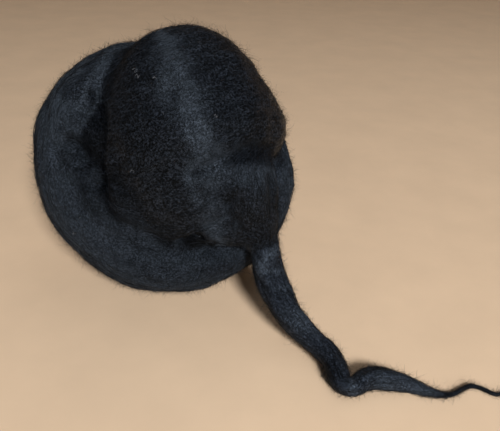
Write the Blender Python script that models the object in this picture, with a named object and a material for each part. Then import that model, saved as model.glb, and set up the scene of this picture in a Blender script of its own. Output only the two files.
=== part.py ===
"""A hand-wound ball of wool roving, with its loose end drawn out and lying on the surface.

Metres, +Z up. The origin is on the surface, under the middle of the ball.
"""

from collections import namedtuple
import math

import bmesh
import bpy
from mathutils import Matrix, Vector, noise

# The ball's own directions: its front, where the loose end comes out, leans back and is turned from -Y towards +X.
FRONT_TURN = math.radians(8.6)
FRONT_LEAN = math.radians(23.4)
HEART = (0.0, -0.0027, 0.043)

# The strand as it is swept and fused
STRAND_SIDES = 16
STRAND_STEPS = 40
STRAND_ROUNDNESS = 0.82
RIM_ROUNDNESS = 0.62
HUG_RADIUS = 0.042
TIP_SHARE = 0.6
TIP_LENGTH = 0.2
VOXEL = 0.0014
RELAX_ROUNDS = 7
FOLD_RELAX_ROUNDS = 3
BALL_TRIANGLES = 8000
WAVE_SIZE = 0.014
WAVE_DEPTH = 0.0007

# The small flat spot that the ball rests on, and the flat end of its neck
FOOT_CUT = 0.2
NECK_CUT_WIDTH = 0.015
NECK_CUT_LENGTH = 0.010

# The loose end
CORD_STEP = 0.0018
CORD_GAP = 0.0003
SURFACE_GAP = 0.0001
CORD_BEVEL_RESOLUTION = 2

WOOL_COLOUR = (0.012, 0.013, 0.016, 1.0)
WOOL_ROUGHNESS = 0.85

# Lobes: centre and half sizes across, up and out as seen from the ball's front
Lobe = namedtuple("Lobe", "name across up out half_across half_up half_out")
LOBES = (
    Lobe("heart", 0.0, 0.0, 0.0, 0.034, 0.034, 0.034),
    Lobe("back of the heart", 0.0, 0.0, -0.0080, 0.0320, 0.0320, 0.0315),
    Lobe("crown", 0.0083, 0.0090, 0.019, 0.0272, 0.0340, 0.0230),
)

# Turns round the rim, as stations round the clock from the right, counter-clockwise as seen from the front. The
# radius is to the middle of the strand, its width runs from front to back and its thickness from heart to rim.
Turn = namedtuple("Turn", "clock radius out width thickness")
RIM_FRONT = (
    Turn(122, 0.0330, -0.0120, 0.020, 0.0140),
    Turn(140, 0.0355, -0.0030, 0.024, 0.0150),
    Turn(155, 0.0354, 0.0030, 0.027, 0.0165),
    Turn(170, 0.0332, 0.0055, 0.029, 0.0185),
    Turn(187, 0.0317, 0.0070, 0.029, 0.0200),
    Turn(205, 0.0306, 0.0070, 0.029, 0.0205),
    Turn(225, 0.0304, 0.0075, 0.029, 0.0205),
    Turn(250, 0.0319, 0.0075, 0.029, 0.0200),
    Turn(270, 0.0338, 0.0070, 0.029, 0.0190),
    Turn(295, 0.0353, 0.0045, 0.029, 0.0185),
    Turn(315, 0.0368, 0.0015, 0.028, 0.0185),
    Turn(345, 0.0368, -0.0010, 0.028, 0.0185),
    Turn(370, 0.0338, -0.0060, 0.026, 0.0180),
    Turn(395, 0.0310, -0.0140, 0.020, 0.0160),
)
RIM_UPPER = (
    Turn(30, 0.0290, -0.0030, 0.022, 0.0180),
    Turn(62, 0.0300, 0.0020, 0.026, 0.0220),
    Turn(95, 0.0289, 0.0050, 0.028, 0.0245),
    Turn(125, 0.0300, 0.0070, 0.030, 0.0250),
    Turn(145, 0.0303, 0.0080, 0.029, 0.0240),
    Turn(158, 0.0285, 0.0070, 0.027, 0.0210),
    Turn(171, 0.0250, 0.0015, 0.023, 0.0180),
    Turn(186, 0.0220, -0.0060, 0.018, 0.0140),
)

# Wraps: circular turns of the strand. heading is where the turn crosses the rim, counter-clockwise from the right
# as seen from the front, lean is how far its plane tips from the rim's towards the back, offset is along its axis.
Wrap = namedtuple("Wrap", "name heading lean radius offset start end width thickness tuck")
WRAPS = (
    Wrap("rim, back turn", 0, 0, 0.0305, -0.014, 0, 360, 0.029, 0.0240, 0.0),
    Wrap("back, first turn", 20, 90, 0.0330, -0.009, -22, 202, 0.030, 0.0160, 0.010),
    Wrap("back, second turn", 78, 90, 0.0350, 0.008, -12, 192, 0.028, 0.0155, 0.012),
    Wrap("back, last turn", 140, 90, 0.0370, 0.001, -16, 196, 0.027, 0.0150, 0.014),
)

# Stretches of strand with their own routes, as seen from the front: places of the middle, width and thickness
Station = namedtuple("Station", "across up out width thickness")
CAP = (
    Station(-0.0180, 0.0080, 0.0230, 0.024, 0.010),
    Station(-0.0060, 0.0150, 0.0310, 0.035, 0.012),
    Station(0.0080, 0.0195, 0.0350, 0.040, 0.012),
    Station(0.0225, 0.0200, 0.0302, 0.034, 0.012),
    Station(0.0328, 0.0135, 0.0200, 0.023, 0.011),
    Station(0.0365, 0.0105, 0.0080, 0.019, 0.009),
)
NECK = (
    Station(0.0200, 0.0120, 0.0280, 0.026, 0.010),
    Station(0.0255, -0.0010, 0.0325, 0.024, 0.011),
    Station(0.0272, -0.0090, 0.0300, 0.020, 0.011),
    Station(0.0290, -0.0170, 0.0260, 0.0145, 0.0105),
    Station(0.0306, -0.0248, 0.0210, 0.0100, 0.0095),
    Station(0.0314, -0.0290, 0.0206, 0.0096, 0.0094),
)
SWATHE = (
    Station(-0.0040, -0.0140, 0.0245, 0.026, 0.011),
    Station(0.0060, -0.0175, 0.0260, 0.022, 0.011),
    Station(0.0150, -0.0195, 0.0260, 0.017, 0.011),
    Station(0.0230, -0.0215, 0.0238, 0.012, 0.010),
    Station(0.0285, -0.0240, 0.0205, 0.008, 0.008),
)

# Folds in the front, as soft troughs (a depth above zero) or ridges (below zero) along a line of places
Fold = namedtuple("Fold", "name depth spread places")
FOLDS = (
    Fold("under the cap", 0.0016, 0.0015, ((0.0025, -0.0055), (0.0170, 0.0005), (0.0260, 0.0036), (0.0320, 0.0042))),
    Fold("left of the crown", 0.0022, 0.0018, ((-0.0150, 0.0320), (-0.0190, 0.0220), (-0.0190, 0.0120),
                                             (-0.0205, -0.0020), (-0.0185, -0.0130), (-0.0130, -0.0190))),
    Fold("below the crown", 0.0018, 0.0018, ((-0.0130, -0.0190), (-0.0040, -0.0235), (0.0045, -0.0265),
                                           (0.0150, -0.0270))),
    Fold("turned edge", -0.0012, 0.0014, ((-0.0345, 0.0080), (-0.0275, -0.0010), (-0.0230, -0.0120),
                                        (-0.0190, -0.0185), (-0.0110, -0.0230))),
    Fold("hollow", 0.0045, 0.0032, ((-0.0280, 0.0065), (-0.0240, 0.0015))),
    Fold("pit beside the swathe", 0.0026, 0.0019, ((0.0050, -0.0255), (0.0095, -0.0235))),
    Fold("neck, left", 0.0012, 0.0015, ((0.0190, -0.0090), (0.0215, -0.0200))),
    Fold("neck, right", 0.0012, 0.0016, ((0.0320, -0.0010), (0.0325, -0.0100), (0.0335, -0.0160))),
)
FOLDS_FADE_FROM = 0.017
FOLDS_END_AT = 0.007

# The loose end's route: the middle of the strand and its radius, from the ball to the tip
RoutePoint = namedtuple("RoutePoint", "x y z radius")
ROUTE = (
    RoutePoint(0.0346, -0.0270, 0.0285, 0.00470),
    RoutePoint(0.0359, -0.0296, 0.0245, 0.00476),
    RoutePoint(0.0375, -0.0328, 0.0190, 0.00482),
    RoutePoint(0.0397, -0.0370, 0.0150, 0.00477),
    RoutePoint(0.0429, -0.0417, 0.0118, 0.00439),
    RoutePoint(0.0464, -0.0452, 0.0090, 0.00383),
    RoutePoint(0.0504, -0.0484, 0.0068, 0.00342),
    RoutePoint(0.0542, -0.0514, 0.0052, 0.00336),
    RoutePoint(0.0565, -0.0550, 0.0043, 0.00334),
    RoutePoint(0.0577, -0.0593, 0.0038, 0.00319),
    RoutePoint(0.0582, -0.0627, 0.0034, 0.00294),
    RoutePoint(0.0588, -0.0641, 0.0032, 0.00280),
    RoutePoint(0.0598, -0.0651, 0.0031, 0.00276),
    RoutePoint(0.0611, -0.0654, 0.0031, 0.00276),
    RoutePoint(0.0625, -0.0650, 0.0031, 0.00279),
    RoutePoint(0.0636, -0.0641, 0.0031, 0.00289),
    RoutePoint(0.0654, -0.0627, 0.0033, 0.00314),
    RoutePoint(0.0675, -0.0618, 0.0033, 0.00327),
    RoutePoint(0.0707, -0.0616, 0.0032, 0.00322),
    RoutePoint(0.0748, -0.0619, 0.0028, 0.00275),
    RoutePoint(0.0785, -0.0627, 0.0022, 0.00222),
    RoutePoint(0.0822, -0.0639, 0.0017, 0.00174),
    RoutePoint(0.0858, -0.0649, 0.0014, 0.00130),
    RoutePoint(0.0890, -0.0649, 0.0010, 0.00087),
    RoutePoint(0.0920, -0.0638, 0.0008, 0.00065),
    RoutePoint(0.0946, -0.0620, 0.0007, 0.00055),
    RoutePoint(0.0974, -0.0605, 0.0006, 0.00045),
    RoutePoint(0.1000, -0.0612, 0.0006, 0.00045),
    RoutePoint(0.1018, -0.0623, 0.0006, 0.00045),
    RoutePoint(0.1035, -0.0635, 0.0006, 0.00045),
    RoutePoint(0.1055, -0.0634, 0.0006, 0.00045),
    RoutePoint(0.1079, -0.0626, 0.0006, 0.00040),
    RoutePoint(0.1098, -0.0622, 0.0006, 0.00035),
)


def ball_frame():
    """The matrix that carries (across, up, out), as seen from the ball's front, into the part's frame."""
    out = Vector((math.sin(FRONT_TURN) * math.cos(FRONT_LEAN),
                  -math.cos(FRONT_TURN) * math.cos(FRONT_LEAN),
                  math.sin(FRONT_LEAN)))
    across = Vector((0, 0, 1)).cross(out).normalized()
    up = out.cross(across)
    frame = Matrix((across, up, out)).transposed().to_4x4()
    frame.translation = HEART
    return frame


def smooth_curve(points, steps):
    """Evenly counted places on a smooth curve through points, each a tuple of any length."""
    spans = len(points) - 1
    places = []
    for step in range(steps + 1):
        along = spans * step / steps
        i = min(int(along), spans - 1)
        t = along - i
        before = points[max(i - 1, 0)]
        after = points[min(i + 2, spans)]
        place = []
        for a, b, c, d in zip(before, points[i], points[i + 1], after):
            bend = 2 * a - 5 * b + 4 * c - d
            twist = 3 * b - a - 3 * c + d
            place.append(b + 0.5 * t * (c - a + t * (bend + t * twist)))
        places.append(tuple(place))
    return places


def add_lobe(bm, row):
    """Adds a smooth egg-shaped lobe."""
    place = Matrix.Translation((row.across, row.up, row.out))
    size = Matrix.Diagonal((row.half_across, row.half_up, row.half_out, 1))
    bmesh.ops.create_uvsphere(bm, u_segments=40, v_segments=24, radius=1, matrix=place @ size)


def plump(share, roundness):
    """Fills out a round section towards a box with soft corners, as roundness falls from 1."""
    return math.copysign(abs(share) ** roundness, share)


def add_strand(bm, stations, closed, roundness):
    """Sweeps a plump flattened section along stations, with its broad side towards the ball's heart."""
    rings = []
    count = len(stations)
    for i, (x, y, z, width, thickness) in enumerate(stations):
        here = Vector((x, y, z))
        if closed:
            ahead = Vector(stations[(i + 1) % count][:3])
            behind = Vector(stations[i - 1][:3])
        else:
            ahead = Vector(stations[min(i + 1, count - 1)][:3])
            behind = Vector(stations[max(i - 1, 0)][:3])
        along = (ahead - behind).normalized()
        side = along.cross(here).normalized()
        outward = side.cross(along)
        ring = []
        for k in range(STRAND_SIDES):
            angle = 2 * math.pi * k / STRAND_SIDES
            beside = width / 2 * plump(math.cos(angle), roundness)
            proud = thickness / 2 * plump(math.sin(angle), roundness) - beside * beside / (2 * HUG_RADIUS)
            ring.append(bm.verts.new(here + side * beside + outward * proud))
        rings.append(ring)
    pairs = list(zip(rings, rings[1:]))
    if closed:
        pairs.append((rings[-1], rings[0]))
    else:
        bm.faces.new(rings[0])
        bm.faces.new(reversed(rings[-1]))
    for first, second in pairs:
        for k in range(STRAND_SIDES):
            after = (k + 1) % STRAND_SIDES
            bm.faces.new((first[after], first[k], second[k], second[after]))


def wrap_stations(row):
    """The stations of one circular turn. An open turn narrows and dives into the ball at its ends."""
    heading = math.radians(row.heading)
    lean = math.radians(row.lean)
    start = Vector((math.cos(heading), math.sin(heading), 0))
    beside = Vector((-math.sin(heading), math.cos(heading), 0))
    rise = beside * math.cos(lean) - Vector((0, 0, 1)) * math.sin(lean)
    axis = start.cross(rise)
    closed = row.end - row.start == 360
    stations = []
    for step in range(STRAND_STEPS if closed else STRAND_STEPS + 1):
        share = step / STRAND_STEPS
        angle = math.radians(row.start + (row.end - row.start) * share)
        end_share = 1.0 if closed else min(1.0, min(share, 1 - share) / TIP_LENGTH)
        eased = end_share * end_share * (3 - 2 * end_share)
        radius = row.radius - row.tuck * (1 - eased)
        place = axis * row.offset + (start * math.cos(angle) + rise * math.sin(angle)) * radius
        swell = TIP_SHARE + (1 - TIP_SHARE) * eased
        stations.append((*place, row.width * swell, row.thickness * swell))
    return stations, closed


def rim_stations(turns):
    """The stations of a turn round the rim."""
    stations = []
    for clock, radius, out, width, thickness in smooth_curve(turns, STRAND_STEPS):
        angle = math.radians(clock)
        stations.append((radius * math.cos(angle), radius * math.sin(angle), out, width, thickness))
    return stations


def wound_form():
    """The lobes and turns, fused into one smooth closed skin in the part's frame."""
    bm = bmesh.new()
    for row in LOBES:
        add_lobe(bm, row)
    for row in WRAPS:
        add_strand(bm, *wrap_stations(row), STRAND_ROUNDNESS)
    for turns in (RIM_FRONT, RIM_UPPER):
        add_strand(bm, rim_stations(turns), False, RIM_ROUNDNESS)
    for stretch in (CAP, NECK, SWATHE):
        add_strand(bm, smooth_curve(stretch, STRAND_STEPS), False, STRAND_ROUNDNESS)
    bmesh.ops.recalc_face_normals(bm, faces=bm.faces)
    bm.transform(ball_frame())
    mesh = bpy.data.meshes.new("wound_form")
    bm.to_mesh(mesh)
    bm.free()
    form = bpy.data.objects.new("wound_form", mesh)
    bpy.context.scene.collection.objects.link(form)
    remesh = form.modifiers.new("fuse", "REMESH")
    remesh.mode = "VOXEL"
    remesh.voxel_size = VOXEL
    relax = form.modifiers.new("relax", "SMOOTH")
    relax.factor = 0.5
    relax.iterations = RELAX_ROUNDS
    fused = evaluated_mesh(form, "fused_form")
    bpy.data.objects.remove(form)
    return fused


def evaluated_mesh(item, name):
    """The mesh of an object with its modifiers applied."""
    graph = bpy.context.evaluated_depsgraph_get()
    mesh = bpy.data.meshes.new_from_object(item.evaluated_get(graph))
    mesh.name = name
    return mesh


def keep_outer_skin(bm):
    """Deletes every closed skin but the largest."""
    left = set(bm.verts)
    skins = []
    while left:
        skin = {left.pop()}
        edge = list(skin)
        while edge:
            near = [e.other_vert(v) for v in edge for e in v.link_edges]
            edge = [v for v in set(near) if v not in skin]
            skin.update(edge)
        left -= skin
        skins.append(skin)
    largest = max(skins, key=len)
    spare = [v for skin in skins if skin is not largest for v in skin]
    bmesh.ops.delete(bm, geom=spare, context="VERTS")


def near_line(place, line):
    """How far a place is from a line of places."""
    nearest = math.inf
    for start, end in zip(line, line[1:]):
        along = (end - start).dot(place - start) / max((end - start).length_squared, 1e-12)
        nearest = min(nearest, (place - start - (end - start) * min(1, max(0, along))).length)
    return nearest


def press_folds(bm):
    """Presses the folds into the front of the ball, and raises its ridges."""
    from_part = ball_frame().inverted()
    turn = from_part.to_3x3()
    lines = [[Vector(place) for place in smooth_curve(fold.places, 4 * len(fold.places))] for fold in FOLDS]
    moves = {}
    for vert in bm.verts:
        seen = from_part @ vert.co
        if seen.z < FOLDS_END_AT or (turn @ vert.normal).z < 0:
            continue
        fade = min(1, (seen.z - FOLDS_END_AT) / (FOLDS_FADE_FROM - FOLDS_END_AT))
        flat = Vector(seen[:2])
        depth = 0
        for fold, line in zip(FOLDS, lines):
            depth += fold.depth * math.exp(-(near_line(flat, line) / fold.spread) ** 2)
        moves[vert] = vert.normal * (-depth * fade)
    for vert, move in moves.items():
        vert.co += move
    for _ in range(FOLD_RELAX_ROUNDS):
        bmesh.ops.smooth_vert(bm, verts=list(moves), factor=0.5, use_axis_x=True, use_axis_y=True, use_axis_z=True)


def roughen(bm):
    """Gives the skin the slow unevenness of loose wool."""
    for vert in bm.verts:
        wave = noise.noise(vert.co / WAVE_SIZE)
        vert.co += vert.normal * (WAVE_DEPTH * wave)


def add_cutter(name, size, matrix):
    """A box that is taken away from the ball."""
    bm = bmesh.new()
    bmesh.ops.create_cube(bm, size=1)
    bmesh.ops.scale(bm, vec=size, verts=bm.verts)
    mesh = bpy.data.meshes.new(name)
    bm.to_mesh(mesh)
    bm.free()
    cutter = bpy.data.objects.new(name, mesh)
    cutter.matrix_world = matrix
    cutter.hide_render = True
    cutter.display_type = "WIRE"
    bpy.context.scene.collection.objects.link(cutter)
    return cutter


def wool_material(name):
    """Dark wool with a broad, soft sheen."""
    material = bpy.data.materials.new(name)
    material.use_nodes = True
    surface = material.node_tree.nodes["Principled BSDF"]
    surface.inputs["Base Color"].default_value = WOOL_COLOUR
    surface.inputs["Roughness"].default_value = WOOL_ROUGHNESS
    surface.inputs["Metallic"].default_value = 0.0
    return material


def build_ball(material):
    """The wound ball, with a small flat spot under it and a flat end on its neck."""
    bm = bmesh.new()
    mesh = wound_form()
    bm.from_mesh(mesh)
    keep_outer_skin(bm)
    press_folds(bm)
    bm.normal_update()
    roughen(bm)
    bm.to_mesh(mesh)
    bm.free()
    ball = bpy.data.objects.new("roving_ball", mesh)
    bpy.context.scene.collection.objects.link(ball)
    mesh.materials.append(material)
    triangles = 2 * len(mesh.polygons)
    thin = ball.modifiers.new("fewer faces", "DECIMATE")
    thin.ratio = BALL_TRIANGLES / triangles
    floor = Matrix.Translation((0, 0, -FOOT_CUT / 2))
    first = Vector(ROUTE[0][:3])
    along = (Vector(ROUTE[1][:3]) - first).normalized()
    neck_end = along.to_track_quat("Z", "Y").to_matrix().to_4x4()
    neck_end.translation = first + along * (NECK_CUT_LENGTH / 2)
    neck_size = (NECK_CUT_WIDTH, NECK_CUT_WIDTH, NECK_CUT_LENGTH)
    for cutter in (
        add_cutter("foot_cut", (FOOT_CUT,) * 3, floor),
        add_cutter("neck_cut", neck_size, neck_end),
    ):
        cut = ball.modifiers.new(cutter.name, "BOOLEAN")
        cut.operation = "DIFFERENCE"
        cut.solver = "EXACT"
        cut.object = cutter
    return ball


def build_loose_end(material):
    """The drawn-out end: a tapering strand on a smooth curve through its route."""
    fine = smooth_curve(ROUTE, 20 * len(ROUTE))
    kept = [fine[0]]
    for place in fine[1:]:
        if (Vector(place[:3]) - Vector(kept[-1][:3])).length >= CORD_STEP:
            kept.append(place)
    kept[-1] = fine[-1]
    first = Vector(kept[0][:3])
    along = (Vector(kept[1][:3]) - first).normalized()
    kept[0] = (*(first + along * CORD_GAP), kept[0][3])
    curve = bpy.data.curves.new("loose_end", "CURVE")
    curve.dimensions = "3D"
    curve.bevel_depth = 1.0
    curve.bevel_resolution = CORD_BEVEL_RESOLUTION
    curve.use_fill_caps = True
    spline = curve.splines.new("POLY")
    spline.points.add(len(kept) - 1)
    for point, (x, y, z, radius) in zip(spline.points, kept):
        point.co = (x, y, max(z, radius + SURFACE_GAP), 1)
        point.radius = radius
    curve.materials.append(material)
    end = bpy.data.objects.new("loose_end", curve)
    bpy.context.scene.collection.objects.link(end)
    return end


def main():
    for item in list(bpy.data.objects):
        bpy.data.objects.remove(item)
    build_ball(wool_material("black_wool"))
    build_loose_end(wool_material("black_wool_end"))


main()
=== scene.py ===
"""The looks of a hand-wound ball of wool roving with its loose end drawn out: an add-on around its frame."""

from collections import namedtuple
from contextlib import contextmanager
import math

import bmesh
import bpy
import numpy as np
from bpy.props import FloatProperty, FloatVectorProperty, IntProperty, PointerProperty
from mathutils import Matrix, Vector, noise
from mathutils.bvhtree import BVHTree


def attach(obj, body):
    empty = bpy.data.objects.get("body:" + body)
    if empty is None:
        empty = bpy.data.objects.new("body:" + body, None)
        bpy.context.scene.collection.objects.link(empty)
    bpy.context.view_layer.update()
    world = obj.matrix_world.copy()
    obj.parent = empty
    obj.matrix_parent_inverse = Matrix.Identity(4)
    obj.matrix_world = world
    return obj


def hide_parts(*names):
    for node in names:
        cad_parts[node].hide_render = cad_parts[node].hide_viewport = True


bl_info = {
    "name": "Wool roving ball",
    "version": (1, 0, 0),
    "blender": (4, 5, 0),
    "location": "3D View > Sidebar > Roving",
    "description": "Dresses a wound ball of wool roving: its skin, combed fibres, fuzz, loose end and stage",
    "category": "Object",
}

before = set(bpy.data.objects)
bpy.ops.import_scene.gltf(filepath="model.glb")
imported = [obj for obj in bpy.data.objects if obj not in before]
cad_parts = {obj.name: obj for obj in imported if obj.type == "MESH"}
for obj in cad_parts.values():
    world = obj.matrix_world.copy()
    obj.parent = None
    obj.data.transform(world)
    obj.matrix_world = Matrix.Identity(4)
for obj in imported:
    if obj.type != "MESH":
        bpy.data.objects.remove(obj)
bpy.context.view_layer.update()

# ----------------------------------------------------------------------------------------------------
# The wound form, in metres, by the same named sizes and tables as the ball's solid. Only the end of the
# rim's upper turn, the neck and the folds go on a little further here, in a skin softer than the solid's.

FRONT_TURN = math.radians(8.6)
FRONT_LEAN = math.radians(23.4)
HEART = (0.0, -0.0027, 0.043)

STRAND_SIDES = 16
STRAND_STEPS = 40
STRAND_ROUNDNESS = 0.82
RIM_ROUNDNESS = 0.62
HUG_RADIUS = 0.042
TIP_SHARE = 0.6
TIP_LENGTH = 0.2
WAVE_SIZE = 0.014
WAVE_DEPTH = 0.0007

# Lobes: centre and half sizes across, up and out as seen from the ball's front, and the axis that the wool
# of the lobe goes round
Lobe = namedtuple("Lobe", "name across up out half_across half_up half_out axis")
LOBES = (
    Lobe("heart", 0.0, 0.0, 0.0, 0.034, 0.034, 0.034, (0.3, 0.9, 0.2)),
    Lobe("back of the heart", 0.0, 0.0, -0.0080, 0.0320, 0.0320, 0.0315, (0.8, 0.5, 0.1)),
    Lobe("crown", 0.0083, 0.0090, 0.019, 0.0272, 0.0340, 0.0230, (-0.37, 0.93, 0.0)),
)

# Turns round the rim, as stations round the clock in degrees from the right, counter-clockwise as seen from
# the front. The radius is to the middle of the strand, its width runs from front to back and its thickness
# from heart to rim.
Turn = namedtuple("Turn", "clock radius out width thickness")
RIM_FRONT = (
    Turn(122, 0.0330, -0.0120, 0.020, 0.0140),
    Turn(140, 0.0355, -0.0030, 0.024, 0.0150),
    Turn(155, 0.0354, 0.0030, 0.027, 0.0165),
    Turn(170, 0.0332, 0.0055, 0.029, 0.0185),
    Turn(187, 0.0317, 0.0070, 0.029, 0.0200),
    Turn(205, 0.0306, 0.0070, 0.029, 0.0205),
    Turn(225, 0.0304, 0.0075, 0.029, 0.0205),
    Turn(250, 0.0319, 0.0075, 0.029, 0.0200),
    Turn(270, 0.0338, 0.0070, 0.029, 0.0190),
    Turn(295, 0.0353, 0.0045, 0.029, 0.0185),
    Turn(315, 0.0368, 0.0015, 0.028, 0.0185),
    Turn(345, 0.0368, -0.0010, 0.028, 0.0185),
    Turn(370, 0.0338, -0.0060, 0.026, 0.0180),
    Turn(395, 0.0310, -0.0140, 0.020, 0.0160),
)
RIM_UPPER = (
    Turn(30, 0.0290, -0.0030, 0.022, 0.0180),
    Turn(62, 0.0300, 0.0020, 0.026, 0.0220),
    Turn(95, 0.0289, 0.0050, 0.028, 0.0245),
    Turn(125, 0.0300, 0.0070, 0.030, 0.0250),
    Turn(148, 0.0303, 0.0080, 0.029, 0.0240),
    Turn(164, 0.0287, 0.0072, 0.027, 0.0210),
    Turn(177, 0.0250, 0.0015, 0.023, 0.0180),
    Turn(191, 0.0220, -0.0060, 0.018, 0.0140),
)

# Wraps: circular turns of the strand, in degrees and metres. heading is where the turn crosses the rim,
# counter-clockwise from the right as seen from the front, lean is how far its plane tips from the rim's
# towards the back, offset is along its axis, and tuck is how far its ends dive into the ball.
Wrap = namedtuple("Wrap", "name heading lean radius offset start end width thickness tuck")
WRAPS = (
    Wrap("rim, back turn", 0, 0, 0.0305, -0.014, 0, 360, 0.029, 0.0240, 0.0),
    Wrap("back, first turn", 20, 90, 0.0330, -0.009, -22, 202, 0.030, 0.0160, 0.010),
    Wrap("back, second turn", 78, 90, 0.0350, 0.008, -12, 192, 0.028, 0.0155, 0.012),
    Wrap("back, last turn", 140, 90, 0.0370, 0.001, -16, 196, 0.027, 0.0150, 0.014),
)

# Stretches of strand with their own routes, as seen from the front: places of the middle, width and thickness
Station = namedtuple("Station", "across up out width thickness")
CAP = (
    Station(-0.0180, 0.0080, 0.0230, 0.024, 0.010),
    Station(-0.0060, 0.0150, 0.0310, 0.035, 0.012),
    Station(0.0080, 0.0195, 0.0350, 0.040, 0.012),
    Station(0.0225, 0.0200, 0.0302, 0.034, 0.012),
    Station(0.0328, 0.0135, 0.0200, 0.023, 0.011),
    Station(0.0365, 0.0105, 0.0080, 0.019, 0.009),
)
NECK = (
    Station(0.0200, 0.0120, 0.0235, 0.026, 0.010),
    Station(0.0250, -0.0010, 0.0300, 0.022, 0.011),
    Station(0.0272, -0.0090, 0.0300, 0.020, 0.011),
    Station(0.0290, -0.0170, 0.0260, 0.0145, 0.0105),
    Station(0.0306, -0.0248, 0.0210, 0.0100, 0.0095),
    Station(0.0315, -0.0296, 0.0220, 0.0090, 0.0088),
    Station(0.0326, -0.0360, 0.0230, 0.0078, 0.0076),
    Station(0.0341, -0.0415, 0.0255, 0.0050, 0.0050),
)
SWATHE = (
    Station(-0.0040, -0.0140, 0.0245, 0.026, 0.011),
    Station(0.0060, -0.0175, 0.0260, 0.022, 0.011),
    Station(0.0150, -0.0195, 0.0260, 0.017, 0.011),
    Station(0.0230, -0.0215, 0.0238, 0.012, 0.010),
    Station(0.0285, -0.0240, 0.0205, 0.008, 0.008),
)

# Every turn, in the order that all_turns makes them
OPEN_TURNS = ("rim, front turn", "rim, upper turn", "cap", "neck", "swathe")
TURN_NAMES = [row.name for row in LOBES + WRAPS] + list(OPEN_TURNS)

# Folds in the front, as soft troughs (a depth above zero) or ridges (below zero) along a line of places
Fold = namedtuple("Fold", "name depth spread places")
FOLDS = (
    Fold("under the cap", 0.0021, 0.0017,
         ((0.0035, -0.0048), (0.0170, 0.0005), (0.0260, 0.0036), (0.0380, 0.0042))),
    Fold("left of the crown", 0.0022, 0.0021,
         ((-0.0120, 0.0380), (-0.0190, 0.0220), (-0.0190, 0.0120), (-0.0205, -0.0020), (-0.0185, -0.0130),
          (-0.0130, -0.0190))),
    Fold("below the crown", 0.0018, 0.0021,
         ((-0.0180, -0.0150), (-0.0130, -0.0190), (-0.0040, -0.0235), (0.0045, -0.0265), (0.0150, -0.0270),
          (0.0200, -0.0270))),
    Fold("turned edge", -0.0008, 0.0013,
         ((-0.0340, 0.0130), (-0.0275, 0.0000), (-0.0217, -0.0112), (-0.0185, -0.0180), (-0.0100, -0.0225))),
    Fold("hollow", 0.0030, 0.0026,
         ((-0.0292, 0.0100), (-0.0250, 0.0040), (-0.0220, -0.0020), (-0.0200, -0.0100))),
    Fold("pit beside the swathe", 0.0036, 0.0017, ((0.0030, -0.0262), (0.0115, -0.0232))),
    Fold("neck, left", 0.0010, 0.0017, ((0.0190, -0.0090), (0.0215, -0.0200))),
    Fold("neck, right", 0.0011, 0.0017, ((0.0320, -0.0010), (0.0325, -0.0100), (0.0335, -0.0160))),
)

# The share of a fold's line over which it fades at each end, and how far out of the ball's middle the folds
# are whole, and where they end, as the front turns away to the sides
FOLD_END = 0.25
FOLDS_FADE_FROM = 0.017
FOLDS_END_AT = 0.007
FOLD_STEPS = 4
FOLD_RELAX_ROUNDS = 5

# Round places where turns sink into each other, as seen from the front, in which the skin is softened
Softened = namedtuple("Softened", "across up radius")
SOFTENED = (
    Softened(0.017, 0.001, 0.012),
    Softened(0.0195, -0.010, 0.011),
    Softened(0.022, -0.020, 0.009),
    Softened(0.026, 0.002, 0.008),
    Softened(0.035, 0.007, 0.007),
    Softened(0.0065, -0.024, 0.007),
    Softened(0.015, -0.0255, 0.007),
    Softened(0.024, -0.027, 0.006),
)
SOFTEN_STEEPNESS = 1.3
SOFTEN_ROUNDS = 110
SETTLE_STEP = 0.5

# In the first of those rounds, loose fibres bridge every crease
BRIDGE_ROUNDS = 30

# Bundles of fibres: the width and run of the broad ones against the fine ones, the depth of the fine ones
# against the broad ones, and how far apart in the noise the bundles of two turns are
BROAD_WIDTH = 2.2
BROAD_RUN = 1.6
BROAD_APART = 5.3
FINE_DEPTH = 0.7
FINE_APART = 9.1
FINE_START = 40

# Low lumps in the felted skin
LUMP_SIZE = 0.0045
LUMP_DEPTH = 0.00035

# Turns whose wool goes evenly round one axis, given as seen from the front, and the gloss of the turns that
# lie combed. The others are matt.
ROUND_ONE_AXIS = (
    (("crown", "cap"), (-0.37, 0.93, 0.0)),
    (("rim, front turn", "rim, upper turn"), (0.0, 0.0, 1.0)),
)
GLOSS = {"crown": 1.0, "cap": 1.0, "rim, upper turn": 0.9, "swathe": 0.7}
FLOW_ROUNDS = 60

# Painted shade in the hollows, standing in for the little light that comes out of them: the depth that is
# wholly shaded, how much painted shade the heart gets where it shows between the turns, and how far the
# painted shade spreads
PAINTED_SHADE_DEPTH = 0.0030
HEART_PAINTED_SHADE = 0.35
PAINTED_SHADE_ROUNDS = 16

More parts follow.
